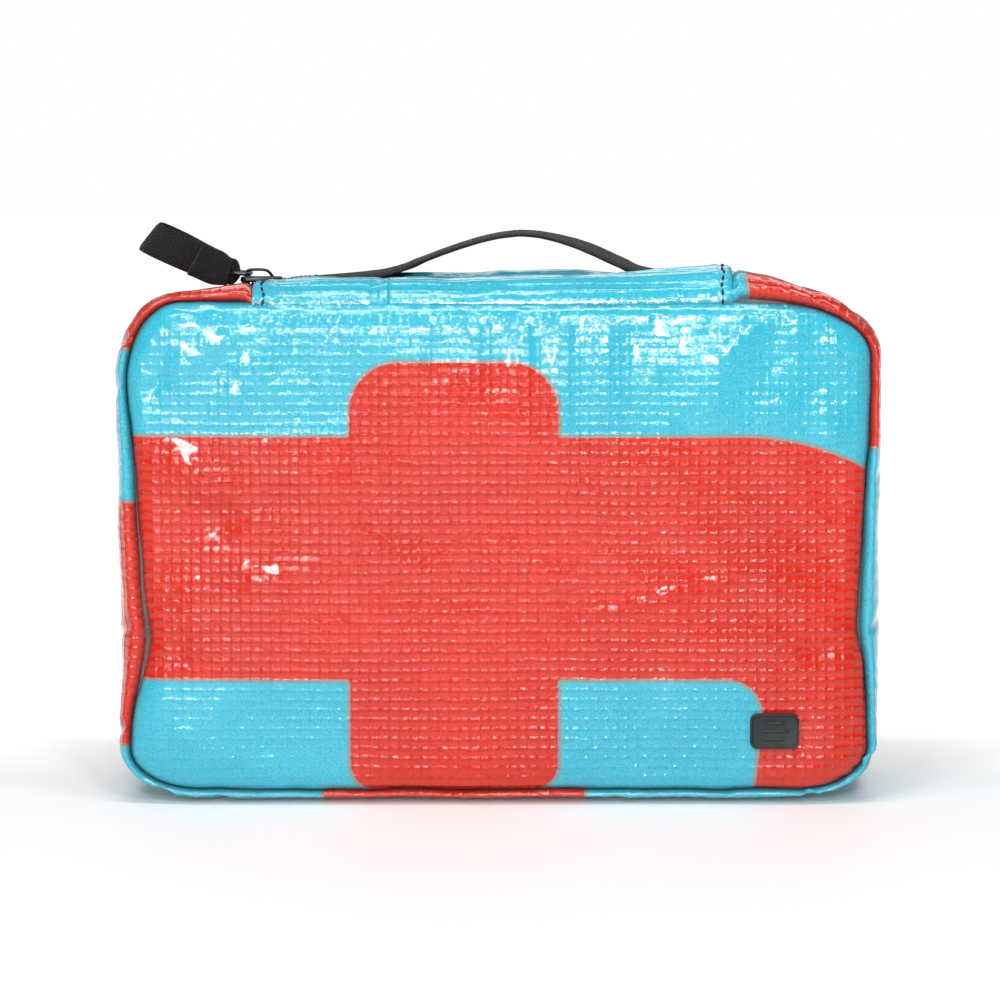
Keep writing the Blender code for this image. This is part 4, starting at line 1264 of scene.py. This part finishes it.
def build_handle():
    """One strap in four pieces that share their ends: the sewn ends ride on the bag, and the two middle ones have their
    place baked into their meshes.
    """
    left_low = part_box("handle_left_end")[0]
    right_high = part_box("handle_right_end")[1]
    middle_low, middle_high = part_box("carry_handle")
    y0 = (middle_low.y + middle_high.y) / 2
    wide, thick = middle_high.y - middle_low.y, 0.0014

    lift = middle_high.z - max(height for _, height in STRAP_TOPS)
    xs = np.linspace(left_low.x, right_high.x, 260)
    zs = np.interp(xs, *np.array(STRAP_TOPS).T) + lift - thick / 2
    kernel = np.hanning(13)
    zs = np.convolve(np.pad(zs, 6, mode="edge"), kernel / kernel.sum(), mode="valid")
    cuts = (left_low.x, middle_low.x, (middle_low.x + middle_high.x) / 2, middle_high.x, right_high.x)

    def place(along, ply, across):
        tilt = 0.03 * smooth((along - cuts[0]) / 0.03) + 0.13 * np.exp(-(((along - 0.034) / 0.015) ** 2))
        drape = -0.0009 * (across / (wide / 2)) ** 2 * (1 - smooth((ply - SEAM_Z[1] - 0.0090) / 0.002))
        return np.stack((along, y0 + across, ply + drape + tilt * (across - wide / 2)), axis=-1)

    spans = (
        ("strap_left_end", cuts[0], cuts[1], "handle_left_end"), ("strap_left", cuts[1], cuts[2], "carry_handle"),
        ("strap_right", cuts[2], cuts[3], None), ("strap_right_end", cuts[3], cuts[4], "handle_right_end"),
    )
    for name, start, end, node in spans:
        x = np.linspace(start, end, 90)
        line = np.stack((x, np.interp(x, xs, zs)), axis=1)
        obj = ribbon(name, line, wide, thick, place, rows=11)
        obj.data.materials.append(look("webbing"))
        if node:
            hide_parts(node)
        if name in ("strap_left", "strap_right"):
            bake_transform(obj)
        else:
            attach(obj, "bag")
    for sign, edge in ((-1, cuts[0]), (1, cuts[4])):
        middle = edge - sign * 0.0065
        first, last = middle - 0.005, middle + 0.005
        corners = [(first, -0.40), (last, -0.40), (last, 0.40), (first, 0.40)]
        order = (0, 1, 2, 3, 0, 2, 3, 1)
        points = []
        for a, b in zip(order, order[1:]):
            for share in np.linspace(0, 1, 8, endpoint=False):
                x = corners[a][0] * (1 - share) + corners[b][0] * share
                across = (corners[a][1] * (1 - share) + corners[b][1] * share) * wide
                p = place(np.array(x), np.interp(x, xs, zs) + thick / 2 + 0.0001, np.array(across))
                points.append(tuple(p))
        stitched(f"strap_box_stitch_{'left' if sign < 0 else 'right'}", points, "bag", 0.00026, pitch=0.0022)


# --- Badge ---


def build_badge():
    """A moulded rubber patch with a raised rim and three bars, sewn on the lower right of the face."""
    low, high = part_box("badge")
    middle = (low + high) / 2
    half_x, half_z, radius = (high.x - low.x) / 2, (high.z - low.z) / 2, 0.0022
    outline = []
    for sx, sz, start in ((1, 1, 0), (-1, 1, 90), (-1, -1, 180), (1, -1, 270)):
        for step in range(7):
            a = math.radians(start + 15 * step)
            outline.append((sx * (half_x - radius) + radius * math.cos(a), sz * (half_z - radius) + radius * math.sin(a)))
    outline = np.array(outline)
    front, back = low.y - 0.0002, high.y + 0.0004
    rings = ((1.0, back), (1.0, front + 0.0004), (0.985, front + 0.0001), (0.955, front), (0.925, front + 0.0001))
    rings += ((0.90, front + 0.0005), (0.88, front + 0.00055), (0.0, front + 0.00055))
    made = bmesh.new()
    loops = []
    for share, y in rings[:-1]:
        scale = np.array((share, 1 - (1 - share) * half_x / half_z))
        loops.append([made.verts.new((middle.x + p[0] * scale[0], y, middle.z + p[1] * scale[1])) for p in outline])
    for a, b in zip(loops, loops[1:]):
        for k in range(len(a)):
            n = (k + 1) % len(a)
            made.faces.new((a[k], a[n], b[n], b[k]))
    made.faces.new(loops[-1])
    made.faces.new(loops[0])
    body = from_bmesh("badge_base", made, 0.5)
    pieces = [body]
    for k in (-1, 0, 1):
        reach = 0.0044 - 0.0012 * abs(k)
        path = [(middle.x + reach * t, front + 0.00055, middle.z + 0.0025 * k) for t in np.linspace(-1, 1, 16)]
        grow = np.sqrt(np.clip(1 - np.linspace(-1, 1, 16) ** 8, 0.02, 1))
        ring = np.array([(math.cos(a) * 0.00055, math.sin(a) * 0.0005) for a in ROUND])
        pieces.append(sweep("badge_bar", path, ring[None] * grow[:, None, None], [(0, -1, 0)] * 16))
    obj = join("rubber_badge", pieces)
    return finish_piece(obj, "bag", look("rubber"), "rubber", "badge")


# --- Lining, bindings and pocket ---


def shell_outline(inset):
    """The seam drawn in by an inset."""
    outline = seam_outline()
    outline["seam"] = outline["seam"] - outline["out"] * inset
    return outline


def build_lining_face(side, node):
    """A slack sheet of lining behind a face."""
    low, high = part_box(node)
    outline = shell_outline(0.0034)
    seam = outline["seam"]
    angle = np.unwrap(np.arctan2((seam[:, 1] - MID_Z) / (SEAM_Z[1] - MID_Z), seam[:, 0] / HALF_WIDTH))
    a, b = np.meshgrid(np.linspace(-1, 1, 121), np.linspace(-1, 1, 83))
    reach = np.maximum(np.maximum(np.abs(a), np.abs(b)), 1e-6)
    wanted = np.arctan2(b / reach, a / reach)
    wanted = np.where(wanted < angle[0], wanted + 2 * math.pi, wanted)
    rim_x, rim_z = (np.interp(wanted, angle, seam[:, k]) for k in (0, 1))
    x, z = reach * rim_x, MID_Z + reach * (rim_z - MID_Z)
    slack = 0.0005 * clouds(x, z, 0.035, 83, 3) + 0.0002 * clouds(x, z * 0.4, 0.009, 89, 2)
    y = side * ((min(abs(low.y), abs(high.y)) + 0.0004) + slack * (1 - reach**6))
    points = np.stack((x, y, z), axis=-1)
    obj = surface(node + "_cloth", points, np.stack((x, z), axis=-1), flip=side > 0)
    return finish_piece(settle(wall(obj, 0.0003)), "bag", look("lining"), "lining", node)


def build_lining_gusset():
    outline = shell_outline(0.0024)
    start, end = length_at(outline, PANEL_X[0] + 0.006, -1), length_at(outline, PANEL_X[1] - 0.006, 1)
    piece = resample(outline, 361, start, end)
    low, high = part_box("lining_gusset")
    c, share = gusset_section(31)
    s, v = np.meshgrid(piece["along"], c * high.y)
    grow = (share[:, None] * np.ones_like(s))[..., None]
    swell = piece["outer"] - piece["out"] * 0.0026
    top = smooth((piece["outer"][:, 1] - 0.149) / 0.006)[None]
    past = np.maximum(PANEL_X[0] - piece["seam"][:, 0], piece["seam"][:, 0] - PANEL_X[1])[None]
    dip = 0.0056 * smooth((0.60 - np.abs(c)) / 0.36)[:, None] * (1 - smooth((past - 0.012) / 0.024)) * top
    slack = 0.0006 * clouds(s, v, 0.022, 97, 3) * smooth((1 - np.abs(c)) / 0.2)[:, None]
    base = piece["seam"][None] * (1 - grow) + swell[None] * grow
    place = base - piece["out"][None] * (dip + np.abs(slack))[..., None]
    points = np.stack((place[..., 0], v, place[..., 1]), axis=-1)
    points[..., 2] = np.maximum(points[..., 2], low.z)
    obj = surface("lining_gusset_cloth", points, np.stack((s, v), axis=-1), flip=True)
    return finish_piece(settle(wall(obj, 0.0003)), "bag", look("lining"), "lining", "lining_gusset")


def build_strip_linings():
    for side, end in ((-1, "front"), (1, "rear")):
        low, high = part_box(f"{end}_strip_lining")
        drop = STRIP_HIGH.z - high.z
        for half, sign in HALVES:
            start, stop = half_span(sign)
            xs = np.linspace(start + 0.0004 * (sign < 0), stop - 0.0004 * (sign > 0), 61)
            depths = np.linspace(SEAM_Y - abs(low.y if side < 0 else high.y), SEAM_Y - 0.0085, 21)
            points = strip_points(-1, xs, depths, drop)
            points[..., 1] *= -side
            x = points[..., 0]
            uv = np.stack((x, points[..., 1]), axis=-1)
            obj = settle(wall(surface(f"{end}_strip_lining_{half}", points, uv, flip=side > 0), 0.0003))
            nodes = (f"{end}_strip_lining",) if sign < 0 else ()
            dress_lip(obj, side, sign, "lining", "lining", *nodes)


def build_bindings():
    """Seam tape folded over the raw edges inside, with a line of stitches."""
    for end, sign in (("front", -1), ("rear", 1)):
        node = f"{end}_seam_binding"
        low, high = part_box(node)
        y = (low.y + high.y) / 2
        outline = shell_outline(0.0052)
        piece = resample(outline, 420)
        keep = piece["seam"][:-1]
        path = np.stack((keep[:, 0], np.full(len(keep), y), keep[:, 1]), axis=1)
        ups = np.stack((piece["out"][:-1, 0], np.zeros(len(keep)), piece["out"][:-1, 1]), axis=1)
        turns = np.linspace(0, 2 * math.pi, 14, endpoint=False)
        rise = np.sin(turns)
        section = np.stack((0.00085 * np.cos(turns), 0.0017 * np.sign(rise) * np.abs(rise) ** 0.6), axis=1)
        tape = sweep(f"{end}_binding_tape", path, section, ups, closed=True)
        finish_piece(tape, "bag", look("binding"), "binding", node)
        line = path - ups * 0.0009 + np.array((0, -sign * 0.0009, 0))
        stitched(f"{end}_binding_stitches", [tuple(p) for p in line], "bag", 0.00018)


def build_pocket():
    low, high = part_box("mesh_pocket")
    y = (low.y + high.y) / 2
    made = bmesh.new()
    pitch, rows = 0.0034, int((high.z - low.z) / 0.0017)
    columns = int((high.x - low.x) / pitch)
    step_z = (high.z - low.z) / rows
    grid = []
    for r in range(rows + 1):
        shift = pitch / 2 if r % 2 else 0.0
        count = columns if r % 2 else columns + 1
        line = []
        for k in range(count):
            x = low.x + 0.0005 + shift + k * (high.x - low.x - 0.001) / columns
            line.append(made.verts.new((x, y + 0.0003 * math.sin(x * 90) * math.sin(r * 0.2), low.z + r * step_z)))
        grid.append(line)
    for r in range(rows):
        here, there = grid[r], grid[r + 1]
        wide, narrow = (here, there) if len(here) > len(there) else (there, here)
        for k, vert in enumerate(narrow):
            made.edges.new((vert, wide[k]))
            made.edges.new((vert, wide[k + 1]))
    mesh = bpy.data.meshes.new("net")
    made.to_mesh(mesh)
    made.free()
    net = bpy.data.objects.new("pocket_net", mesh)
    bpy.context.scene.collection.objects.link(net)
    tree = net_tree()
    net = run_tree(net, tree, Radius=0.00019, Material=look("mesh"))
    net.data.shade_smooth()
    finish_piece(net, "bag", None, "mesh", "mesh_pocket")
    low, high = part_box("pocket_elastic")
    middle, half_y, half_z = (low + high) / 2, (high.y - low.y) / 2, (high.z - low.z) / 2
    xs = np.linspace(low.x, high.x, 340)
    path = np.stack((xs, middle.y + 0.00012 * np.sin(xs * 1500), np.full(len(xs), middle.z)), axis=1)
    turns = np.linspace(0, 2 * math.pi, 20, endpoint=False)
    c, s = np.cos(turns), np.sin(turns)
    flat = half_z * 0.98 * np.sign(c) * np.abs(c) ** 0.35
    section = np.stack((flat, half_y * 0.7 * np.sign(s) * np.abs(s) ** 0.6), axis=1)
    band = sweep("pocket_elastic_band", path, section, [(0, -1, 0)] * len(xs))
    finish_piece(band, "bag", look("binding"), "binding", "pocket_elastic")


def net_tree():
    """A round yarn along every edge of a net."""
    t = Tree("net_yarn", Radius="NodeSocketFloat", Material="NodeSocketMaterial")
    g = t.given.outputs
    lines = t.node("GeometryNodeMeshToCurve", None, Mesh=g["Geometry"])
    section = t.node("GeometryNodeCurvePrimitiveCircle", {"mode": "RADIUS"}, Resolution=4, Radius=g["Radius"])
    yarn = t.node("GeometryNodeCurveToMesh", None, Curve=lines.outputs[0], _1=section.outputs[0])
    return t.finish(yarn.outputs[0], g["Material"])


# --- Supplies ---


def spiral(name, node, inner, outer, pitch, low, high, place, material, slot, thickness):
    """A strip wound on itself. place turns (x, y, height) into its place in the pouch."""
    turns = (outer - inner) / pitch
    count = int(turns * 44)
    angle = np.linspace(0, turns * 2 * math.pi, count)
    radius = inner + pitch * angle / (2 * math.pi) + 0.00010 * np.sin(angle * 3.1)
    heights = np.linspace(0, 1, 7)
    a, h = np.meshgrid(angle, heights)
    r = np.meshgrid(radius, heights)[0]
    at_rim = np.where(np.abs(h - 0.5) > 0.49, 1, 0)
    ragged = 0.0005 * clouds(a * 0.004, h * 0, 0.01, 61, 2) * np.sign(h - 0.5) * at_rim
    tall = low + (high - low) * h + ragged * 0.6
    tall = np.clip(tall, low, high)
    points = place(r * np.cos(a), r * np.sin(a), tall)
    uv = np.stack((a * r, tall), axis=-1)
    obj = settle(wall(surface(name, points, uv), thickness))
    return finish_piece(obj, "bag", look(material), slot, node)


def build_rolls():
    for node, material, slot, pitch in (
        ("gauze_roll", "gauze", "gauze", 0.0011), ("elastic_bandage_roll", "elastic", "elastic", 0.0014)
    ):
        low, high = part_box(node)
        middle, radius = (low + high) / 2, (high.x - low.x) / 2

        def upright(x, y, height, middle=middle):
            return np.stack((middle.x + x, middle.y + y, height), axis=-1)

        thickness = pitch * 0.62
        spiral(node + "_wound", node, 0.0016, radius - 0.0001, pitch, low.z, high.z, upright, material, slot, thickness)
    low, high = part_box("medical_tape_roll")
    core_low, core_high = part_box("tape_core")
    middle, radius = (low + high) / 2, (high.x - low.x) / 2
    inner = (core_high.x - core_low.x) / 2

    def lying(x, y, height):
        return np.stack((middle.x + x, height, middle.z + y), axis=-1)

    spiral(
        "tape_wound", "medical_tape_roll", inner + 0.0006, radius - 0.0001, 0.0008, low.y, high.y, lying,
        "gauze", "gauze", 0.0006
    )
    made = bmesh.new()
    rings = []
    for r, y in ((inner, core_low.y), (inner, core_high.y), (inner - 0.0012, core_high.y), (inner - 0.0012, core_low.y)):
        turns = np.linspace(0, 2 * math.pi, 96, endpoint=False)
        rings.append([made.verts.new((middle.x + r * math.cos(a), y, middle.z + r * math.sin(a))) for a in turns])
    for a, b in zip(rings, rings[1:] + rings[:1]):
        for k in range(96):
            n = (k + 1) % 96
            made.faces.new((a[k], a[n], b[n], b[k]))
    core = from_bmesh("tape_card_ring", made, 0.7)
    rounding = core.modifiers.new("Rounding", "BEVEL")
    rounding.width, rounding.segments, rounding.limit_method = 0.00025, 2, "ANGLE"
    finish_piece(settle(core), "bag", look("core"), "core", "tape_core")


def build_packet(node, material, slot, border=0.006, plump=1.0, seed=1):
    """A flat sealed packet: a pillow in the middle and a crimped border with a notched edge."""
    low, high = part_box(node)
    wide, tall, deep = high.x - low.x, high.z - low.z, (high.y - low.y) / 2
    middle_y = (low.y + high.y) / 2
    u, v = np.meshgrid(np.linspace(0, wide, 90), np.linspace(0, tall, 90))
    edge = np.minimum(np.minimum(u, wide - u), np.minimum(v, tall - v))
    pillow = smooth((edge - border) / (border * 1.2)) ** 0.7
    side_edge = np.minimum(v, tall - v) < border
    crimp = np.where(side_edge, np.sin(v / 0.0011 * 2 * math.pi), 0.0) * 0.00012
    crumple = clouds(u, v, 0.016, seed, 3)
    sheets = []
    for sign in (-1, 1):
        stand = 0.00016 + (deep * plump - 0.0005 + 0.00028 * np.abs(crumple)) * pillow
        lift = np.minimum(stand, deep - 0.0001) * sign + crimp + 0.0003 * np.sin(u * 60 + seed) * (1 - pillow)
        height = v / tall - 0.5
        zigzag = 0.0004 * np.abs(((u / 0.0014) % 1) - 0.5) * height * 2 * (np.abs(height) > 0.49)
        y = middle_y + np.clip(lift, -deep, deep)
        sheets.append(np.stack((low.x + u, y, low.z + v - zigzag), axis=-1))
    made = bmesh.new()
    grids = [[[made.verts.new(p) for p in row] for row in sheet] for sheet in sheets]
    for g, grid in enumerate(grids):
        for i in range(89):
            for k in range(89):
                face = (grid[i][k], grid[i][k + 1], grid[i + 1][k + 1], grid[i + 1][k])
                made.faces.new(face if g == 0 else face[::-1])
    front, back = grids
    rims = [[(front[0][k], back[0][k]) for k in range(90)], [(front[k][89], back[k][89]) for k in range(90)]]
    rims += [[(front[89][k], back[89][k]) for k in reversed(range(90))]]
    rims += [[(front[k][0], back[k][0]) for k in reversed(range(90))]]
    for rim in rims:
        for (a, b), (c, d) in zip(rim, rim[1:]):
            made.faces.new((a, b, d, c))
    return finish_piece(from_bmesh(node + "_sealed", made, 1.2), "bag", look(material), slot, node)


def build_blanket():
    """Metallised film folded to and fro, its folds showing at both ends."""
    low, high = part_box("emergency_blanket")
    folds = 9
    pitch = (high.y - low.y - 0.0006) / folds
    line = []
    for k in range(folds):
        y = low.y + 0.0003 + (k + 0.5) * pitch
        ends = (low.z + 0.001, high.z - 0.0012)
        start, stop = ends if k % 2 == 0 else ends[::-1]
        for share in np.linspace(0.03, 0.97, 14):
            line.append((y, start + (stop - start) * share))
        if k < folds - 1:
            for a in np.linspace(0.2, 0.8, 4):
                turn = math.pi * a
                bulge = (0.4 * pitch) * math.sin(turn) * (1 if k % 2 == 0 else -1)
                line.append((y + pitch * (1 - math.cos(turn)) / 2, stop + bulge))
    line = np.array(line)
    xs = np.linspace(low.x + 0.0004, high.x - 0.0004, 120)
    x, y = np.meshgrid(xs, line[:, 0])
    z = np.meshgrid(xs, line[:, 1])[1]
    rows = np.arange(len(line))[:, None] * np.ones_like(x)
    dent = 0.00045 * clouds(x + rows * 0.31, z, 0.011, 101, 3)
    y = np.clip(y + dent, low.y, high.y)
    points = np.stack((x, y, z), axis=-1)
    obj = settle(wall(surface("blanket_folded", points, np.stack((x, z), axis=-1)), 0.00012))
    return finish_piece(obj, "bag", look("foil"), "foil", "emergency_blanket")


def build_carton():
    """A tuck-end carton: body, lid, tuck flap and glue flap."""
    low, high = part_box("bandage_box")
    parts = []

    def block(name, a, b, bevel):
        made = bmesh.new()
        bmesh.ops.create_cube(made, size=1)
        for vert in made.verts:
            vert.co = Vector([(p + q) / 2 + c * (q - p) for p, q, c in zip(a, b, vert.co)])
        bmesh.ops.subdivide_edges(made, edges=made.edges[:], cuts=6, use_grid_fill=True)
        for vert in made.verts:
            bow = 0.0003 * math.sin(vert.co.x * 47 + 1) * math.sin((vert.co.z - low.z) / (high.z - low.z) * math.pi)
            vert.co.y += bow * (1 if vert.co.y > (low.y + high.y) / 2 else -1) * 0.8 - bow * 0
        obj = from_bmesh(name, made, 0.6)
        rounding = obj.modifiers.new("Rounding", "BEVEL")
        rounding.width, rounding.segments, rounding.limit_method = bevel, 2, "ANGLE"
        parts.append(settle(obj))

    rim = 0.0004
    block("carton_body", (low.x + rim, low.y + rim, low.z), (high.x - rim, high.y - rim, high.z - 0.0008), 0.0005)
    block("carton_lid", (low.x + rim, low.y + rim, high.z - 0.00065), (high.x - rim, high.y - rim, high.z), 0.0002)
    tuck = ((low.x + 0.004, low.y + 0.0001, high.z - 0.013), (high.x - 0.004, low.y + 0.0005, high.z - 0.0002))
    block("carton_tuck", *tuck, 0.00015)
    flap = ((high.x - 0.0005, low.y + 0.002, low.z + 0.001), (high.x - 0.0001, high.y - 0.006, high.z - 0.002))
    block("carton_glue_flap", *flap, 0.0001)
    obj = join("plaster_carton", parts)
    return finish_piece(obj, "bag", look("carton"), "carton", "bandage_box")


def rounded_copy(node, body, material, slot, bevel):
    """A CAD node's own shape with its edges rounded."""
    made = bmesh.new()
    made.from_mesh(frame["nodes"][node].data)
    bmesh.ops.remove_doubles(made, verts=made.verts, dist=1e-6)
    bmesh.ops.dissolve_limit(made, angle_limit=math.radians(4), verts=made.verts, edges=made.edges)
    obj = from_bmesh(node + "_finished", made, 0.6)
    rounding = obj.modifiers.new("Rounding", "BEVEL")
    rounding.width, rounding.segments, rounding.limit_method = bevel, 3, "ANGLE"
    rounding.angle_limit = math.radians(40)
    return finish_piece(settle(obj), body, look(material), slot, node)


# --- Operators ---


class POUCH_OT_shell(bpy.types.Operator):
    """Build the two faces and the gusset of coated vinyl"""

    bl_idname = "pouch.shell"
    bl_label = "Build the shell"

    def execute(self, context):
        for side, node in ((-1, "front_panel"), (1, "back_panel")):
            finish_piece(settle(build_face(side)), "bag", look("vinyl"), "vinyl", node)
        finish_piece(settle(build_gusset()), "bag", look("vinyl"), "vinyl", "gusset_band")
        return {"FINISHED"}


class POUCH_OT_zip_panel(bpy.types.Operator):
    """Build the top strips, the zip tapes and the coils"""

    bl_idname = "pouch.zip_panel"
    bl_label = "Build the zip panel"

    def execute(self, context):
        build_strips()
        build_zip()
        return {"FINISHED"}


class POUCH_OT_slider(bpy.types.Operator):
    """Build the slider, its ring and the webbing pull loop"""

    bl_idname = "pouch.slider"
    bl_label = "Build the slider"

    def execute(self, context):
        build_slider()
        build_pull()
        return {"FINISHED"}


class POUCH_OT_handle(bpy.types.Operator):
    """Build the webbing carry handle"""

    bl_idname = "pouch.handle"
    bl_label = "Build the handle"

    def execute(self, context):
        build_handle()
        return {"FINISHED"}


class POUCH_OT_badge(bpy.types.Operator):
    """Build the rubber badge"""

    bl_idname = "pouch.badge"
    bl_label = "Build the badge"

    def execute(self, context):
        build_badge()
        return {"FINISHED"}


class POUCH_OT_lining(bpy.types.Operator):
    """Build the lining, the seam bindings and the net pocket"""

    bl_idname = "pouch.lining"
    bl_label = "Build the lining"

    def execute(self, context):
        build_lining_face(-1, "lining_front")
        build_lining_face(1, "lining_back")
        build_lining_gusset()
        build_strip_linings()
        build_bindings()
        build_pocket()
        return {"FINISHED"}


class POUCH_OT_supplies(bpy.types.Operator):
    """Build the supplies that the pouch holds"""

    bl_idname = "pouch.supplies"
    bl_label = "Build the supplies"

    def execute(self, context):
        build_rolls()
        build_carton()
        build_blanket()
        for k in (1, 2, 3):
            build_packet(f"gauze_packet_{k}", "paper", "paper", 0.007, 0.8, 7 * k)
            build_packet(f"wipe_packet_{k}", "sachet", "sachet", 0.005, 0.9, 5 * k + 2)
        build_packet("glove_pouch", "pouch", "pouch", 0.004, 0.85, 43)
        rounded_copy("tweezers", "bag", "steel", "steel", 0.0003)
        return {"FINISHED"}


class POUCH_OT_shears(bpy.types.Operator):
    """Build the shears"""

    bl_idname = "pouch.shears"
    bl_label = "Build the shears"

    def execute(self, context):
        for letter, body in (("a", "bag"), ("b", "shears_half")):
            rounded_copy(f"shears_blade_{letter}", body, "steel", "steel", 0.00025)
            rounded_copy(f"shears_grip_{letter}", body, "grip", "grip", 0.0019)
        rounded_copy("shears_rivet", "bag", "steel", "steel", 0.0002)
        return {"FINISHED"}


class POUCH_OT_stage(bpy.types.Operator):
    """Build the floor, the lights and the camera"""

    bl_idname = "pouch.stage"
    bl_label = "Build the stage"

    def execute(self, context):
        build_stage()
        return {"FINISHED"}


class POUCH_PT_panel(bpy.types.Panel):
    """Lists the pouch's pieces, sizes and colours"""

    bl_label = "Pouch"
    bl_idname = "POUCH_PT_panel"
    bl_space_type = "VIEW_3D"
    bl_region_type = "UI"
    bl_category = "Pouch"

    def draw(self, context):
        layout = self.layout
        for group in (context.scene.pouch_sizes, context.scene.pouch_colours):
            for name in type(group).__annotations__:
                layout.prop(group, name)
        for operator in OPERATORS:
            layout.operator(operator.bl_idname)


def build_stage():
    made = bmesh.new()
    bmesh.ops.create_circle(made, cap_ends=True, segments=96, radius=7)
    floor = from_bmesh("studio_floor", made)
    floor.data.materials.append(look("floor"))
    build_world()
    for name, place, size, power in LAMPS:
        lamp = bpy.data.lights.new(name, "AREA")
        lamp.shape = "RECTANGLE"
        lamp.size, lamp.size_y = size
        lamp.energy = power
        obj = bpy.data.objects.new(name, lamp)
        obj.location = place
        obj.rotation_euler = (Vector((0, 0, 0.08)) - Vector(place)).to_track_quat("-Z", "Y").to_euler()
        bpy.context.scene.collection.objects.link(obj)
    camera = bpy.data.cameras.new("camera")
    camera.sensor_width = 36
    camera.lens = 129.4
    rig = bpy.data.objects.new("camera", camera)
    tilt = math.radians(6.0)
    distance = 1.1
    target = Vector((0.0003, SEAM_Y * -1, 0.0948))
    rig.location = target + Vector((0, -math.cos(tilt) * distance, math.sin(tilt) * distance))
    rig.rotation_euler = (target - rig.location).to_track_quat("-Z", "Y").to_euler()
    bpy.context.scene.collection.objects.link(rig)
    bpy.context.scene.camera = rig
    bpy.context.scene.view_settings.view_transform = "Standard"


# Softboxes: name, place, size and power in watts
LAMPS = (
    ("left_strip", (-0.38, -1.45, 0.35), (0.09, 0.18), 6.5), ("front_high", (0.06, -1.60, 0.58), (0.20, 0.06), 8.0),
    ("upper_left", (-0.45, -1.00, 0.92), (0.22, 0.12), 4.0), ("upper_right", (0.28, -1.15, 0.86), (0.16, 0.10), 4.5),
    ("overhead", (0.0, -0.35, 1.25), (1.0, 0.12), 8.0), ("behind", (0.0, 1.1, 0.9), (1.4, 0.4), 4.0),
)


def build_world():
    """A white backdrop, which lights the pouch less from in front and from overhead."""
    world = bpy.data.worlds.new("studio")
    bpy.context.scene.world = world
    world.use_nodes = True
    nodes, links = world.node_tree.nodes, world.node_tree.links
    place = nodes.new("ShaderNodeTexCoord")
    split = nodes.new("ShaderNodeSeparateXYZ")
    fade = nodes.new("ShaderNodeMapRange")
    fade.interpolation_type = "SMOOTHSTEP"
    for socket, value in zip(fade.inputs[1:5], (0.05, 0.14, 1.0, 0.22)):
        socket.default_value = value
    links.new(place.outputs["Generated"], split.inputs[0])
    links.new(split.outputs[2], fade.inputs[0])
    front = nodes.new("ShaderNodeMapRange")
    for socket, value in zip(front.inputs[1:5], (-0.5, 0.3, 0.30, 1.0)):
        socket.default_value = value
    links.new(split.outputs[1], front.inputs[0])
    both = nodes.new("ShaderNodeMath")
    both.operation = "MULTIPLY"
    links.new(fade.outputs[0], both.inputs[0])
    links.new(front.outputs[0], both.inputs[1])
    seen = nodes.new("ShaderNodeLightPath")
    strength = nodes.new("ShaderNodeMath")
    strength.operation = "MAXIMUM"
    links.new(both.outputs[0], strength.inputs[0])
    links.new(seen.outputs["Is Camera Ray"], strength.inputs[1])
    links.new(strength.outputs[0], nodes["Background"].inputs["Strength"])
    nodes["Background"].inputs["Color"].default_value = (1, 1, 1, 1)


OPERATORS = (
    POUCH_OT_stage, POUCH_OT_shell, POUCH_OT_zip_panel, POUCH_OT_slider, POUCH_OT_handle, POUCH_OT_badge,
    POUCH_OT_lining, POUCH_OT_supplies, POUCH_OT_shears,
)
CLASSES = (PouchSizes, PouchColours, *OPERATORS, POUCH_PT_panel)


def register():
    for cls in CLASSES:
        bpy.utils.register_class(cls)
    bpy.types.Scene.pouch_sizes = PointerProperty(type=PouchSizes)
    bpy.types.Scene.pouch_colours = PointerProperty(type=PouchColours)


def unregister():
    del bpy.types.Scene.pouch_colours
    del bpy.types.Scene.pouch_sizes
    for cls in reversed(CLASSES):
        bpy.utils.unregister_class(cls)


def main():
    register()
    for operator in OPERATORS:
        group, name = operator.bl_idname.split(".")
        getattr(getattr(bpy.ops, group), name)()


if __name__ == "__main__":
    main()
